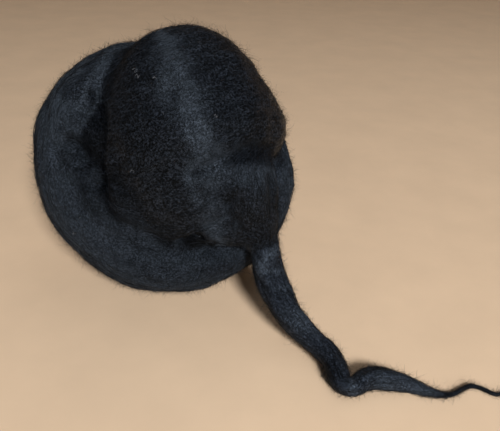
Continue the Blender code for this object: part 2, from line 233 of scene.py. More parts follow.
# The loose end's route: the middle of the strand and its radius, from the ball to the tip
RoutePoint = namedtuple("RoutePoint", "x y z radius")
ROUTE = [RoutePoint(*row) for row in (
    (0.0346, -0.0270, 0.0285, 0.00470), (0.0359, -0.0296, 0.0245, 0.00476),
    (0.0375, -0.0328, 0.0190, 0.00482), (0.0397, -0.0370, 0.0150, 0.00477),
    (0.0429, -0.0417, 0.0118, 0.00439), (0.0464, -0.0452, 0.0090, 0.00383),
    (0.0504, -0.0484, 0.0068, 0.00342), (0.0542, -0.0514, 0.0052, 0.00336),
    (0.0565, -0.0550, 0.0043, 0.00334), (0.0577, -0.0593, 0.0038, 0.00319),
    (0.0582, -0.0627, 0.0034, 0.00294), (0.0588, -0.0641, 0.0032, 0.00280),
    (0.0598, -0.0651, 0.0031, 0.00276), (0.0611, -0.0654, 0.0031, 0.00276),
    (0.0625, -0.0650, 0.0031, 0.00279), (0.0636, -0.0641, 0.0031, 0.00289),
    (0.0654, -0.0627, 0.0033, 0.00314), (0.0675, -0.0618, 0.0033, 0.00327),
    (0.0707, -0.0616, 0.0032, 0.00322), (0.0748, -0.0619, 0.0028, 0.00275),
    (0.0785, -0.0627, 0.0022, 0.00222), (0.0822, -0.0639, 0.0017, 0.00174),
    (0.0858, -0.0649, 0.0014, 0.00130), (0.0890, -0.0649, 0.0010, 0.00087),
    (0.0920, -0.0638, 0.0008, 0.00065), (0.0946, -0.0620, 0.0007, 0.00055),
    (0.0974, -0.0605, 0.0006, 0.00045), (0.1000, -0.0612, 0.0006, 0.00045),
    (0.1018, -0.0623, 0.0006, 0.00045), (0.1035, -0.0635, 0.0006, 0.00045),
    (0.1055, -0.0634, 0.0006, 0.00045), (0.1079, -0.0626, 0.0006, 0.00040),
    (0.1098, -0.0622, 0.0006, 0.00035),
)]


# ----------------------------------------------------------------------------------------------------
# Sizes and colours that a user would change


def size(name, description, default):
    """A length that a user would change."""
    return FloatProperty(name=name, description=description, default=default, unit="LENGTH")


def tone(name, description, default):
    """A colour that a user would change."""
    return FloatVectorProperty(name=name, description=description, default=default, subtype="COLOR")


def number(name, description, default):
    """A plain number that a user would change."""
    return FloatProperty(name=name, description=description, default=default)


class SkinSettings(bpy.types.PropertyGroup):
    """The skin of the ball and of its loose end."""

    face_size: size("Face size", "Size of the skin's faces", 0.00085)
    relax_rounds: IntProperty(
        name="Relax rounds", description="How often the fused turns are smoothed", default=18, min=0)
    bundle_width: size("Bundle width", "Width of the bundles that the fibres lie in", 0.0021)
    bundle_run: size("Bundle run", "Length over which a bundle changes", 0.022)
    bundle_depth: size("Bundle depth", "How far the bundles stand out", 0.00022)
    colour: tone("Wool colour", "Colour of the dark wool", (0.0009, 0.0011, 0.0015))
    pale: tone("Pale streaks", "Colour of the palest streaks", (0.0200, 0.0250, 0.0350))


class FibreSettings(bpy.types.PropertyGroup):
    """The fibres that lie on the skin and the fuzz that stands off it."""

    length: size("Fibre length", "Length of a combed fibre that shows", 0.010)
    thickness: size("Fibre thickness", "Thickness of a combed fibre", 0.00008)
    per_area: number("Combed fibres", "Combed fibres on a square metre", 210000.0)
    fuzz_length: size("Fuzz length", "Length of a fuzz hair", 0.0022)
    fuzz_thickness: size("Fuzz thickness", "Thickness of a fuzz hair", 0.000075)
    fuzz_per_area: number("Fuzz hairs", "Fuzz hairs of one layer on a square metre", 290000.0)
    colour: tone("Fibre colour", "Colour of most fibres", (0.0026, 0.0031, 0.0040))
    # The pale fibres are partly a random paler tone of the wool and partly painted glints of fibres that
    # catch the light
    pale: tone("Pale fibre colour", "Colour of the fibres that catch the light", (0.024, 0.030, 0.042))
    lint_colour: tone("Lint colour", "Colour of the pale flecks", (0.16, 0.17, 0.19))
    lint_per_area: number("Lint flecks", "Flecks of lint on a square metre", 3600.0)


class StageSettings(bpy.types.PropertyGroup):
    """The floor, its lights and the camera."""

    floor_colour: tone("Floor colour", "Colour of the plain floor", (0.77, 0.57, 0.39))
    key_power: number("Key light", "Power of the light at the right of the camera, in watts", 18.5)
    room_light: number("Room light", "Strength of the even light from all round", 0.07)


# ----------------------------------------------------------------------------------------------------
# Curves, frames and small helpers


def ball_frame():
    """The matrix that carries (across, up, out), as seen from the ball's front, into the part's frame."""
    out = Vector((math.sin(FRONT_TURN) * math.cos(FRONT_LEAN),
                  -math.cos(FRONT_TURN) * math.cos(FRONT_LEAN),
                  math.sin(FRONT_LEAN)))
    across = Vector((0, 0, 1)).cross(out).normalized()
    up = out.cross(across)
    matrix = Matrix((across, up, out)).transposed().to_4x4()
    matrix.translation = HEART
    return matrix


def smooth_curve(points, steps):
    """Evenly counted places on a smooth curve through points, each a tuple of any length."""
    spans = len(points) - 1
    places = []
    for step in range(steps + 1):
        along = spans * step / steps
        i = min(int(along), spans - 1)
        t = along - i
        before = points[max(i - 1, 0)]
        after = points[min(i + 2, spans)]
        place = []
        for a, b, c, d in zip(before, points[i], points[i + 1], after):
            bend = 2 * a - 5 * b + 4 * c - d
            twist = 3 * b - a - 3 * c + d
            place.append(b + 0.5 * t * (c - a + t * (bend + t * twist)))
        places.append(tuple(place))
    return places


def evenly(points, step):
    """The same line of places, respaced to equal steps along it."""
    points = np.array(points, float)
    lengths = np.linalg.norm(np.diff(points[:, :3], axis=0), axis=1)
    run = np.concatenate(([0], np.cumsum(lengths)))
    at = np.linspace(0, run[-1], max(2, int(round(run[-1] / step)) + 1))
    return np.stack([np.interp(at, run, column) for column in points.T], axis=1), at


def unit(rows):
    """Rows of vectors, each made one long."""
    return rows / np.maximum(np.linalg.norm(rows, axis=-1, keepdims=True), 1e-12)


def along_surface(ways, normals):
    """Rows of ways, less what points out of the surface."""
    return ways - normals * np.sum(ways * normals, axis=1, keepdims=True)


def plump(share, roundness):
    """Fills out a round section towards a box with soft corners, as roundness falls from 1."""
    return math.copysign(abs(share) ** roundness, share)


def add_object(name, mesh, *materials):
    """A new object in the scene, with its materials."""
    item = bpy.data.objects.new(name, mesh)
    bpy.context.scene.collection.objects.link(item)
    for material in materials:
        mesh.materials.append(material)
    return item


def mesh_of(name, places, faces):
    """A new mesh, shaded smooth."""
    mesh = bpy.data.meshes.new(name)
    mesh.from_pydata([tuple(map(float, place)) for place in places], [], [tuple(face) for face in faces])
    mesh.shade_smooth()
    return mesh


def tube_faces(base, rings, sides):
    """The faces of a tube, closed at both ends, whose rings of places start at the place numbered base."""
    faces = []
    for i in range(rings - 1):
        for k in range(sides):
            a, b = base + i * sides + k, base + i * sides + (k + 1) % sides
            faces.append((a, b, b + sides, a + sides))
    last = base + (rings - 1) * sides
    faces.append(tuple(reversed(range(base, base + sides))))
    faces.append(tuple(range(last, last + sides)))
    return faces


def rows_of(items, name, width=3, kind=np.float32):
    """One property of a mesh's vertices, edges, faces or corners, as rows of numbers."""
    found = np.empty(len(items) * width, kind)
    items.foreach_get(name, found)
    return found.reshape(-1, width) if width > 1 else found


def places_of(mesh):
    """A mesh's places as rows."""
    return rows_of(mesh.vertices, "co").astype(float)


def normals_of(mesh):
    """A mesh's normals at its places, as rows."""
    return rows_of(mesh.vertices, "normal").astype(float)


def move_to(mesh, places):
    """Puts a mesh's vertices at rows of places."""
    mesh.vertices.foreach_set("co", places.astype(np.float32).ravel())
    mesh.update()


@contextmanager
def editing(mesh):
    """A mesh opened for editing, and written back at the end."""
    bm = bmesh.new()
    bm.from_mesh(mesh)
    yield bm
    bm.to_mesh(mesh)
    bm.free()


def store_lay(mesh, flow, gloss, hollow):
    """Keeps how the wool lies at each place: the way its fibres run, their gloss, and how hollow it is, which
    sets the painted shade of its hollows.
    """
    kept = mesh.attributes.new("flow", "FLOAT_VECTOR", "POINT")
    kept.data.foreach_set("vector", np.asarray(flow, np.float32).ravel())
    for name, values in (("gloss", gloss), ("hollow", hollow)):
        kept = mesh.attributes.new(name, "FLOAT", "POINT")
        kept.data.foreach_set("value", np.asarray(values, np.float32))


def plain_mesh(item, name):
    """What an object's modifiers make of it, as a mesh of its own."""
    graph = bpy.context.evaluated_depsgraph_get()
    mesh = bpy.data.meshes.new_from_object(item.evaluated_get(graph))
    mesh.name = name
    return mesh


# ----------------------------------------------------------------------------------------------------
# The turns before they are fused, with where each place is along and across its strand

Turned = namedtuple("Turned", "places faces flow along across")

LOBE_BANDS = 30
LOBE_STEPS = 48


def swept(stations, closed, roundness):
    """A plump flattened section swept along stations, with its broad side towards the ball's heart. The seam
    of the section is on its inner side."""
    count = len(stations)
    columns = STRAND_SIDES + 1
    places, along, across, ring_flow = [], [], [], []
    run = 0.0
    rows = list(range(count)) + ([0] if closed else [])
    for order, i in enumerate(rows):
        x, y, z, width, thickness = stations[i]
        here = Vector((x, y, z))
        if closed:
            ahead = Vector(stations[(i + 1) % count][:3])
            behind = Vector(stations[i - 1][:3])
        else:
            ahead = Vector(stations[min(i + 1, count - 1)][:3])
            behind = Vector(stations[max(i - 1, 0)][:3])
        if order:
            run += (here - Vector(stations[rows[order - 1]][:3])).length
        tangent = (ahead - behind).normalized()
        side = tangent.cross(here).normalized()
        outward = side.cross(tangent)
        round_it = 0.0
        for k in range(columns):
            angle = 2 * math.pi * k / STRAND_SIDES - math.pi / 2
            beside = width / 2 * plump(math.cos(angle), roundness)
            proud = thickness / 2 * plump(math.sin(angle), roundness) - beside * beside / (2 * HUG_RADIUS)
            place = here + side * beside + outward * proud
            if k:
                round_it += (place - places[-1]).length
            places.append(place)
            along.append(run)
            across.append(round_it)
        ring_flow.append(tangent)
    faces, flow = [], []
    for i in range(len(rows) - 1):
        for k in range(STRAND_SIDES):
            a = i * columns + k
            faces.append((a + 1, a, a + columns, a + columns + 1))
            flow.append((ring_flow[i] + ring_flow[i + 1]).normalized())
    if not closed:
        last = (len(rows) - 1) * columns
        faces.append(tuple(range(STRAND_SIDES)))
        faces.append(tuple(reversed(range(last, last + STRAND_SIDES))))
        flow += [ring_flow[0], ring_flow[-1]]
    return Turned(places, faces, flow, along, across)


def lobe(row):
    """An egg-shaped lobe, with the wool going round its axis."""
    axis = Vector(row.axis).normalized()
    first = axis.orthogonal().normalized()
    second = axis.cross(first)
    centre = Vector((row.across, row.up, row.out))
    half = Vector((row.half_across, row.half_up, row.half_out))
    mean = sum(half) / 3
    places, along, across, faces, flow = [], [], [], [], []
    for i in range(LOBE_BANDS + 1):
        tilt = math.pi * i / LOBE_BANDS
        for k in range(LOBE_STEPS + 1):
            turn = 2 * math.pi * k / LOBE_STEPS
            spot = (first * math.cos(turn) + second * math.sin(turn)) * math.sin(tilt) + axis * math.cos(tilt)
            places.append(centre + spot * half)
            along.append(turn * mean)
            across.append(tilt * mean)
    for i in range(LOBE_BANDS):
        for k in range(LOBE_STEPS):
            a = i * (LOBE_STEPS + 1) + k
            turn = 2 * math.pi * (k + 0.5) / LOBE_STEPS
            faces.append((a, a + 1, a + LOBE_STEPS + 2, a + LOBE_STEPS + 1))
            flow.append(((second * math.cos(turn) - first * math.sin(turn)) * half).normalized())
    return Turned(places, faces, flow, along, across)


def wrap_stations(row):
    """The stations of one circular turn. An open turn narrows and dives into the ball at its ends."""
    heading = math.radians(row.heading)
    lean = math.radians(row.lean)
    start = Vector((math.cos(heading), math.sin(heading), 0))
    beside = Vector((-math.sin(heading), math.cos(heading), 0))
    rise = beside * math.cos(lean) - Vector((0, 0, 1)) * math.sin(lean)
    axis = start.cross(rise)
    closed = row.end - row.start == 360
    stations = []
    for step in range(STRAND_STEPS if closed else STRAND_STEPS + 1):
        share = step / STRAND_STEPS
        angle = math.radians(row.start + (row.end - row.start) * share)
        end_share = 1.0 if closed else min(1.0, min(share, 1 - share) / TIP_LENGTH)
        eased = end_share * end_share * (3 - 2 * end_share)
        radius = row.radius - row.tuck * (1 - eased)
        place = axis * row.offset + (start * math.cos(angle) + rise * math.sin(angle)) * radius
        swell = TIP_SHARE + (1 - TIP_SHARE) * eased
        stations.append((*place, row.width * swell, row.thickness * swell))
    return stations, closed


def rim_stations(turns):
    """The stations of a turn round the rim."""
    stations = []
    for clock, radius, out, width, thickness in smooth_curve(turns, STRAND_STEPS):
        angle = math.radians(clock)
        stations.append((radius * math.cos(angle), radius * math.sin(angle), out, width, thickness))
    return stations


def all_turns():
    """Every lobe and turn of the ball, in the ball's own directions."""
    turns = [lobe(row) for row in LOBES]
    turns += [swept(*wrap_stations(row), STRAND_ROUNDNESS) for row in WRAPS]
    turns += [swept(rim_stations(rows), False, RIM_ROUNDNESS) for rows in (RIM_FRONT, RIM_UPPER)]
    turns += [
        swept(smooth_curve(rows, STRAND_STEPS), False, STRAND_ROUNDNESS) for rows in (CAP, NECK, SWATHE)]
    return turns


class Combing:
    """Says, for any place, which turn it is on, which way its wool runs, and where it is along and across."""

    def __init__(self, turns, matrix):
        spin = matrix.to_3x3()
        self.places, self.faces, self.flow, self.turn = [], [], [], []
        self.along, self.across = [], []
        for order, turned in enumerate(turns):
            base = len(self.places)
            self.places += [matrix @ place for place in turned.places]
            self.faces += [tuple(base + corner for corner in face) for face in turned.faces]
            self.flow += [spin @ way for way in turned.flow]
            self.turn += [order] * len(turned.faces)
            self.along += turned.along
            self.across += turned.across
        self.tree = BVHTree.FromPolygons(self.places, self.faces)

    def read(self, spots):
        """Rows of flow and of (across, along, turn) at rows of spots."""
        flow = np.empty((len(spots), 3))
        where = np.empty((len(spots), 3))
        for row, spot in enumerate(spots):
            near, _, index, _ = self.tree.find_nearest(Vector(spot))
            corners = self.faces[index][:4]
            away = [1 / ((self.places[corner] - near).length + 1e-6) for corner in corners]
            total = sum(away)
            flow[row] = self.flow[index]
            where[row] = (
                sum(w * self.across[corner] for w, corner in zip(away, corners)) / total,
                sum(w * self.along[corner] for w, corner in zip(away, corners)) / total,
                self.turn[index],
            )
        return flow, where


# ----------------------------------------------------------------------------------------------------
# The skin of the ball


def fused(turned_form, face_size, rounds):
    """The turns, fused into one smooth closed skin."""
    mesh = mesh_of("turns", turned_form.places, turned_form.faces)
    form = add_object("turns", mesh)
    remesh = form.modifiers.new("fuse", "REMESH")
    remesh.mode = "VOXEL"
    remesh.voxel_size = face_size
    relax = form.modifiers.new("relax", "SMOOTH")
    relax.factor = 0.5
    relax.iterations = rounds
    skin = plain_mesh(form, "wound_skin")
    bpy.data.objects.remove(form)
    return skin


def keep_outer_skin(mesh):
    """Deletes every closed skin but the largest."""
    with editing(mesh) as bm:
        left = set(bm.verts)
        skins = []
        while left:
            skin = {left.pop()}
            edge = list(skin)
            while edge:
                near = [e.other_vert(v) for v in edge for e in v.link_edges]
                edge = [v for v in set(near) if v not in skin]
                skin.update(edge)
            left -= skin
            skins.append(skin)
        largest = max(skins, key=len)
        spare = [v for skin in skins if skin is not largest for v in skin]
        bmesh.ops.delete(bm, geom=spare, context="VERTS")


def near_line(flat, line):
    """How far rows of places are from a line of places, and how far along it they are, from 0 to 1."""
    nearest = np.full(len(flat), np.inf)
    along = np.zeros(len(flat))
    for order, (start, end) in enumerate(zip(line, line[1:])):
        way = end - start
        share = np.clip((flat - start) @ way / max(way @ way, 1e-12), 0, 1)
        away = np.linalg.norm(flat - start - share[:, None] * way, axis=1)
        closer = away < nearest
        nearest[closer] = away[closer]
        along[closer] = (order + share[closer]) / (len(line) - 1)
    return nearest, along


def edge_pairs(mesh):
    """The two ends of every edge."""
    pairs = np.empty(len(mesh.edges) * 2, np.int32)
    mesh.edges.foreach_get("vertices", pairs)
    return pairs.reshape(-1, 2)


def both_ways(pairs):
    """Every edge from each of its ends: the place here and the place there."""
    return np.concatenate([pairs[:, 0], pairs[:, 1]]), np.concatenate([pairs[:, 1], pairs[:, 0]])


def neighbour_means(values, pairs):
    """The mean of every place's neighbours, column by column."""
    here, there = both_ways(pairs)
    degree = np.maximum(np.bincount(here, minlength=len(values)), 1)
    return np.stack([np.bincount(here, column[there], len(values)) / degree for column in values.T], axis=1)


def spread_out(values, pairs, rounds):
    """Values at places, evened out over their neighbours."""
    column = values[:, None]
    for _ in range(rounds):
        column = neighbour_means(column, pairs)
    return column[:, 0]


def blended(flow, normals, pairs, rounds):
    """The flow along the skin, blended where turns meet. Neighbours that run opposite ways count as running
    the same way, and wool that dives into the skin counts for little."""
    here, there = both_ways(pairs)
    count = len(flow)
    degree = np.bincount(here, minlength=count)
    flow = along_surface(flow, normals)
    trust = np.sum(flow * flow, axis=1) ** 2
    flow = unit(flow)
    for _ in range(rounds):
        pull = np.sign(np.sum(flow[here] * flow[there], axis=1)) * trust[there]
        drawn = np.stack([np.bincount(here, pull * column[there], count) for column in flow.T], axis=1)
        flow = unit(along_surface(flow * trust[:, None] + drawn, normals))
        trust = (trust + np.bincount(here, trust[there], count)) / (degree + 1)
    return flow


def turned_alike(flow, pairs):
    """The flow, with neighbours turned the same way as far as that can be."""
    near = [[] for _ in flow]
    for a, b in pairs:
        near[a].append(b)
        near[b].append(a)
    ways = [Vector(way) for way in flow]
    seen = bytearray(len(ways))
    for start in range(len(ways)):
        if seen[start]:
            continue
        seen[start] = 1
        edge = [start]
        while edge:
            ahead = []
            for here in edge:
                for there in near[here]:
                    if not seen[there]:
                        seen[there] = 1
                        if ways[here].dot(ways[there]) < 0:
                            ways[there].negate()
                        ahead.append(there)
            edge = ahead
    return np.array(ways)


def as_seen(places, matrix):
    """Rows of places as (across, up, out), as seen from the ball's front."""
    to_view = np.array(matrix.inverted())
    return places @ to_view[:3, :3].T + to_view[:3, 3]


def settle(mesh, matrix):
    """Rounds out the creases, and softens the places where turns sink into each other."""
    places, normals = places_of(mesh), normals_of(mesh)
    pairs = edge_pairs(mesh)
    seen = as_seen(places, matrix)
    soften = np.zeros(len(places))
    for row in SOFTENED:
        away = np.hypot(seen[:, 0] - row.across, seen[:, 1] - row.up) / row.radius
        soften = np.maximum(soften, np.clip(SOFTEN_STEEPNESS * (1 - away), 0, 1))
    soften[seen[:, 2] < 0] = 0
    for turn in range(SOFTEN_ROUNDS):
        move = neighbour_means(places, pairs) - places
        creased = np.sum(move * normals, axis=1) > 0
        bridged = SETTLE_STEP * creased if turn < BRIDGE_ROUNDS else 0.0
        places += move * np.maximum(SETTLE_STEP * soften, bridged)[:, None]
    move_to(mesh, places)


def fold_depths(places, normals, matrix):
    """How deep the folds in the front of the ball are at each place."""
    seen = as_seen(places, matrix)
    facing = normals @ np.array(matrix.inverted())[2, :3]
    fade = np.clip((seen[:, 2] - FOLDS_END_AT) / (FOLDS_FADE_FROM - FOLDS_END_AT), 0, 1)
    fade[facing < 0] = 0
    depth = np.zeros(len(places))
    for fold in FOLDS:
        line = [np.array(place) for place in smooth_curve(fold.places, FOLD_STEPS * len(fold.places))]
        away, along = near_line(seen[:, :2], line)
        inside = np.clip(np.minimum(along, 1 - along) / FOLD_END, 0, 1)
        depth += fold.depth * np.exp(-(away / fold.spread) ** 2) * inside * inside * (3 - 2 * inside)
    return depth * fade


def press_folds(mesh, matrix):
    """Presses the folds into the skin and rounds them off. Gives how deep each place was pressed."""
    places, normals = places_of(mesh), normals_of(mesh)
    depths = fold_depths(places, normals, matrix)
    move_to(mesh, places - normals * depths[:, None])
    with editing(mesh) as bm:
        bm.verts.ensure_lookup_table()
        folded = [bm.verts[i] for i in np.flatnonzero(depths != 0)]
        for _ in range(FOLD_RELAX_ROUNDS):
            bmesh.ops.smooth_vert(
                bm, verts=folded, factor=0.5, use_axis_x=True, use_axis_y=True, use_axis_z=True)
        bm.normal_update()
    return depths


def bundles(where, settings):
    """How far each place stands out of the skin, in broad and fine bundles of fibres along each strand."""
    width, run = settings.bundle_width, settings.bundle_run
    found = np.empty(len(where))
    for row, (across, along, turn) in enumerate(where):
        broad = noise.noise((across / (BROAD_WIDTH * width), along / (BROAD_RUN * run), BROAD_APART * turn))
        fine = noise.noise((across / width, along / run, FINE_APART * turn + FINE_START))
        found[row] = broad + FINE_DEPTH * fine
    return found * settings.bundle_depth


def waves(places):
    """How far each place stands out in broad waves and low lumps."""
    found = np.empty(len(places))
    for row, place in enumerate(map(Vector, places)):
        found[row] = WAVE_DEPTH * noise.noise(place / WAVE_SIZE) + LUMP_DEPTH * noise.noise(place / LUMP_SIZE)
    return found


def lay_wool(mesh, flow, normals, turn, depths, matrix):
    """Keeps how the wool of the skin lies: its way along each turn, its gloss, and how hollow it is, which
    sets the painted shade of its hollows and of the heart between the turns.
    """
    pairs = edge_pairs(mesh)
    for names, axis in ROUND_ONE_AXIS:
        wound = np.isin(turn, [TURN_NAMES.index(name) for name in names])
        flow[wound] = unit(np.cross(np.array(matrix.to_3x3() @ Vector(axis)), normals[wound]))
    flow = turned_alike(blended(flow, normals, pairs, FLOW_ROUNDS), pairs)
    gloss = np.array([GLOSS.get(name, 0.0) for name in TURN_NAMES])[turn]
    # Painted shade: the deeper a fold is pressed, the darker it is to be, and the heart is shaded where it
    # shows between the turns
    hollow = np.maximum(np.clip(depths / PAINTED_SHADE_DEPTH, 0, 1), HEART_PAINTED_SHADE * (turn == TURN_NAMES.index("heart")))
    store_lay(mesh, flow, spread_out(gloss, pairs, FLOW_ROUNDS), spread_out(hollow, pairs, PAINTED_SHADE_ROUNDS))


def build_skin(settings):
    """The wound skin, with its folds, bundles, map and combing."""
    matrix = ball_frame()
    combing = Combing(all_turns(), matrix)
    skin = fused(combing, settings.face_size, settings.relax_rounds)
    keep_outer_skin(skin)
    settle(skin, matrix)
    depths = press_folds(skin, matrix)
    places, normals = places_of(skin), normals_of(skin)
    flow, where = combing.read(places)
    places += normals * (waves(places) + bundles(where, settings))[:, None]
    places[:, 2] = np.maximum(places[:, 2], 0.0)
    move_to(skin, places)
    lay_wool(skin, flow, normals, where[:, 2].astype(int), depths, matrix)
    add_combed_map(skin, combing)
    skin.shade_smooth()
    return skin


MAP_GAP = 0.05


def add_combed_map(mesh, combing):
    """A map that follows the wool: across the fibres and along them, in metres, with a gap between turns."""
    centres = rows_of(mesh.polygons, "center").astype(float)
    normals = rows_of(mesh.polygons, "normal")
    corners = rows_of(mesh.loops, "vertex_index", 1, np.int32)
    flow, where = combing.read(centres)
    flow = unit(along_surface(flow, normals))
    side = np.cross(flow, normals)
    face = np.repeat(np.arange(len(centres)), rows_of(mesh.polygons, "loop_total", 1, np.int32))
    offset = places_of(mesh)[corners] - centres[face]
    across = where[face, 0] + np.sum(offset * side[face], axis=1) + MAP_GAP * where[face, 2]
    along = where[face, 1] + np.sum(offset * flow[face], axis=1)
    layer = mesh.uv_layers.new(name="Combing")
    layer.uv.foreach_set("vector", np.stack([across, along], axis=1).astype(np.float32).ravel())


# ----------------------------------------------------------------------------------------------------
# The loose end

END_STEP = 0.0006
END_CURVE_STEPS = 20
END_SIDES = 40
END_BURIED = 0.006
END_ROOT_SHARE = 0.8
END_TWIST = 38.0
END_THINNEST = 0.00008
FLOOR_GAP = 0.00003

# Lobes and ridges that wind along the strand, as noise round its section: how far the section reaches in the
# noise, the run over which it changes, its depth as a share of the strand's radius, and its start
Relief = namedtuple("Relief", "reach run depth start")
END_RELIEFS = (Relief(1.25, 0.008, 0.17, 0), Relief(3.4, 0.0045, 0.06, 30))

# A bend is blunted where the strand would fold into itself, past this share of the bend's own radius
END_BLUNT = 0.8
END_BEND_SPAN = 5

# Near its tip the strand thins to a core, and its last fibres part from it and wander
END_CORE = 0.25
CORE_LAG = 0.012
CORE_FADE = 0.02
WISP_FROM = 0.80
WISP_LEAD = 0.010
WISP_STRANDS = 30
WISP_SIDES = 4
WISP_SEED = 7
WISP_FEWEST_RINGS = 8
WISP_MAP_GAP = 0.01
# How long and how far out its strands are: the least share, and how much more there can be
WISP_LENGTH = (0.94, 0.06)
WISP_REACH = (0.4, 0.8)
WISP_TWIST = 55
WISP_WANDER = 1.5
WISP_WANDER_RUN = 0.006
WISP_WANDER_APART = 7.7
WISP_SPREAD = 0.00032
WISP_SPREAD_SHARE = 0.35
WISP_DRAWN_IN = 0.35
WISP_THICKNESS = 0.00022
WISP_TAPER = 0.4

EndLine = namedtuple("EndLine", "centres radii run tangents sides ups")
Drawn = namedtuple("Drawn", "places faces flow map_at")


def carried_sides(tangents):
    """A side for each place of a line, carried along it with as little turning as can be."""
    sides = [Vector(tangents[0]).orthogonal().normalized()]
    for way in tangents[1:]:
        way = Vector(way)
        side = sides[-1] - way * sides[-1].dot(way)
        sides.append(side.normalized())
    return np.array(sides)


def end_line():
    """The loose end's middle line, from inside the ball to the tip, with its radii, its length so far and its
    directions at each place."""
    first, second = Vector(ROUTE[0][:3]), Vector(ROUTE[1][:3])
    start = first + (first - second).normalized() * END_BURIED
    points = [(*start, END_ROOT_SHARE * ROUTE[0].radius)] + [tuple(row) for row in ROUTE]
    line, run = evenly(smooth_curve(points, END_CURVE_STEPS * len(points)), END_STEP)
    tangents = unit(np.gradient(line[:, :3], axis=0))
    sides = carried_sides(tangents)
    return EndLine(line[:, :3], line[:, 3], run, tangents, sides, np.cross(tangents, sides))


def add_strand(line, drawn):
    """A loosely twisted tapering strand, blunted on the inside of its kink."""
    bend = np.gradient(line.tangents, axis=0) / END_STEP
    padded = np.pad(bend, ((END_BEND_SPAN // 2,) * 2, (0, 0)), mode="edge")
    even = np.ones(END_BEND_SPAN) / END_BEND_SPAN
    bend = np.stack([np.convolve(column, even, "valid") for column in padded.T], axis=1)
    for i, (centre, run) in enumerate(zip(line.centres, line.run)):
        fade = np.clip((WISP_FROM * line.run[-1] + CORE_LAG - run) / CORE_FADE, 0.0, 1.0)
        for k in range(END_SIDES):
            angle = 2 * math.pi * k / END_SIDES
            c, s = math.cos(angle + END_TWIST * run), math.sin(angle + END_TWIST * run)
            swell = 1.0
            for relief in END_RELIEFS:
                spot = (relief.reach * c, relief.reach * s, run / relief.run + relief.start)
                swell += relief.depth * noise.noise(spot)
            radius = max(line.radii[i] * swell * (END_CORE + (1 - END_CORE) * fade), END_THINNEST)
            offset = (line.sides[i] * math.cos(angle) + line.ups[i] * math.sin(angle)) * radius
            inward = offset @ bend[i]
            if inward > END_BLUNT:
                offset = offset * (END_BLUNT / inward)
            place = centre + offset
            place[2] = max(place[2], FLOOR_GAP)
            around = -line.sides[i] * math.sin(angle) + line.ups[i] * math.cos(angle)
            drawn.places.append(place)
            drawn.flow.append(line.tangents[i] - around * END_TWIST * radius)
            drawn.map_at.append((angle * line.radii[i], run))
    drawn.faces.extend(tube_faces(0, len(line.centres), END_SIDES))


def add_wisp(line, drawn):
    """The last fibres of the loose end, which part and wander round its line."""
    noise.seed_set(WISP_SEED)
    start = int(np.searchsorted(line.run, WISP_FROM * line.run[-1] - WISP_LEAD))
    count = len(line.run) - start
    for strand in range(WISP_STRANDS):
        phase = 2 * math.pi * noise.random()
        short = WISP_LENGTH[0] + WISP_LENGTH[1] * noise.random() if strand % 3 == 0 else 1.0
        length = max(WISP_FEWEST_RINGS, int(count * short))
        reach = WISP_REACH[0] + WISP_REACH[1] * noise.random()
        base = len(drawn.places)
        for j in range(length):
            i = start + j
            share = j / (length - 1)
            run = line.run[i]
            wander = WISP_WANDER * noise.noise((run / WISP_WANDER_RUN, strand * WISP_WANDER_APART, 0))
            angle = phase + WISP_TWIST * run + wander
            spread = reach * (WISP_SPREAD + WISP_SPREAD_SHARE * line.radii[i]) * (1 - WISP_DRAWN_IN * share)
            off = line.sides[i] * math.cos(angle) + line.ups[i] * math.sin(angle)
            middle = line.centres[i] + off * spread
            thick = WISP_THICKNESS / 2 * (1 - WISP_TAPER * share)
            for k in range(WISP_SIDES):
                corner = 2 * math.pi / WISP_SIDES * k
                place = middle + (line.sides[i] * math.cos(corner) + line.ups[i] * math.sin(corner)) * thick
                place[2] = max(place[2], FLOOR_GAP)
                drawn.places.append(place)
                drawn.flow.append(line.tangents[i])
                drawn.map_at.append((WISP_MAP_GAP * strand + thick * k, run))
        drawn.faces.extend(tube_faces(base, length, WISP_SIDES))


def build_end_mesh():
    """The loose end's mesh, and the middle line that it follows."""
    line = end_line()
    drawn = Drawn([], [], [], [])
    add_strand(line, drawn)
    add_wisp(line, drawn)
    mesh = mesh_of("drawn_end", drawn.places, drawn.faces)
    store_lay(mesh, unit(np.array(drawn.flow)), np.ones(len(drawn.flow)), np.zeros(len(drawn.flow)))
    layer = mesh.uv_layers.new(name="Combing")
    for loop in mesh.loops:
        layer.uv[loop.index].vector = drawn.map_at[loop.vertex_index]
    return mesh, line.centres


# ----------------------------------------------------------------------------------------------------
# Lint: curls of thread, by their place as seen from the front, their size and their start

Curl = namedtuple("Curl", "across up size turn")
CURLS = (
    Curl(-0.0070, 0.0272, 0.00045, 0.3),
    Curl(-0.0064, 0.0253, 0.00040, 2.1),
    Curl(-0.0017, 0.0244, 0.00028, 4.0),
    Curl(0.0148, 0.0132, 0.00032, 1.2),
    Curl(-0.0090, -0.0015, 0.00036, 5.1),
    Curl(-0.0285, -0.0205, 0.00026, 3.3),
)
LINT_SIDES = 4
LINT_RADIUS = 0.000035
LINT_GREY = 0.45
CURL_DROPPED_FROM = 0.08
CURL_STEPS = 21
CURL_TURN = 8.5
CURL_REACH = 3.2
CURL_QUICK_SWAY = 0.4
CURL_TURN_BACK = 0.5
CURL_LIFT = 0.0004
CURL_WAVE = 0.00035
CURL_WAVE_TURN = 7


def curl_line(curl, middle, normal):
    """The middle line of a curl that lies on the skin."""
    side = normal.orthogonal().normalized()
    ahead = normal.cross(side)
    line = []
    for step in range(CURL_STEPS + 1):
        share = step / CURL_STEPS
        angle = CURL_TURN * share
        sway = math.sin(angle + curl.turn) + CURL_QUICK_SWAY * math.sin(2 * angle)
        reach = CURL_REACH * (share - 0.5) + CURL_TURN_BACK * math.cos(angle + curl.turn)
        lift = CURL_LIFT + CURL_WAVE * math.sin(CURL_WAVE_TURN * share + curl.turn)
        line.append(middle + side * curl.size * sway + ahead * curl.size * reach + normal * lift)
    return line


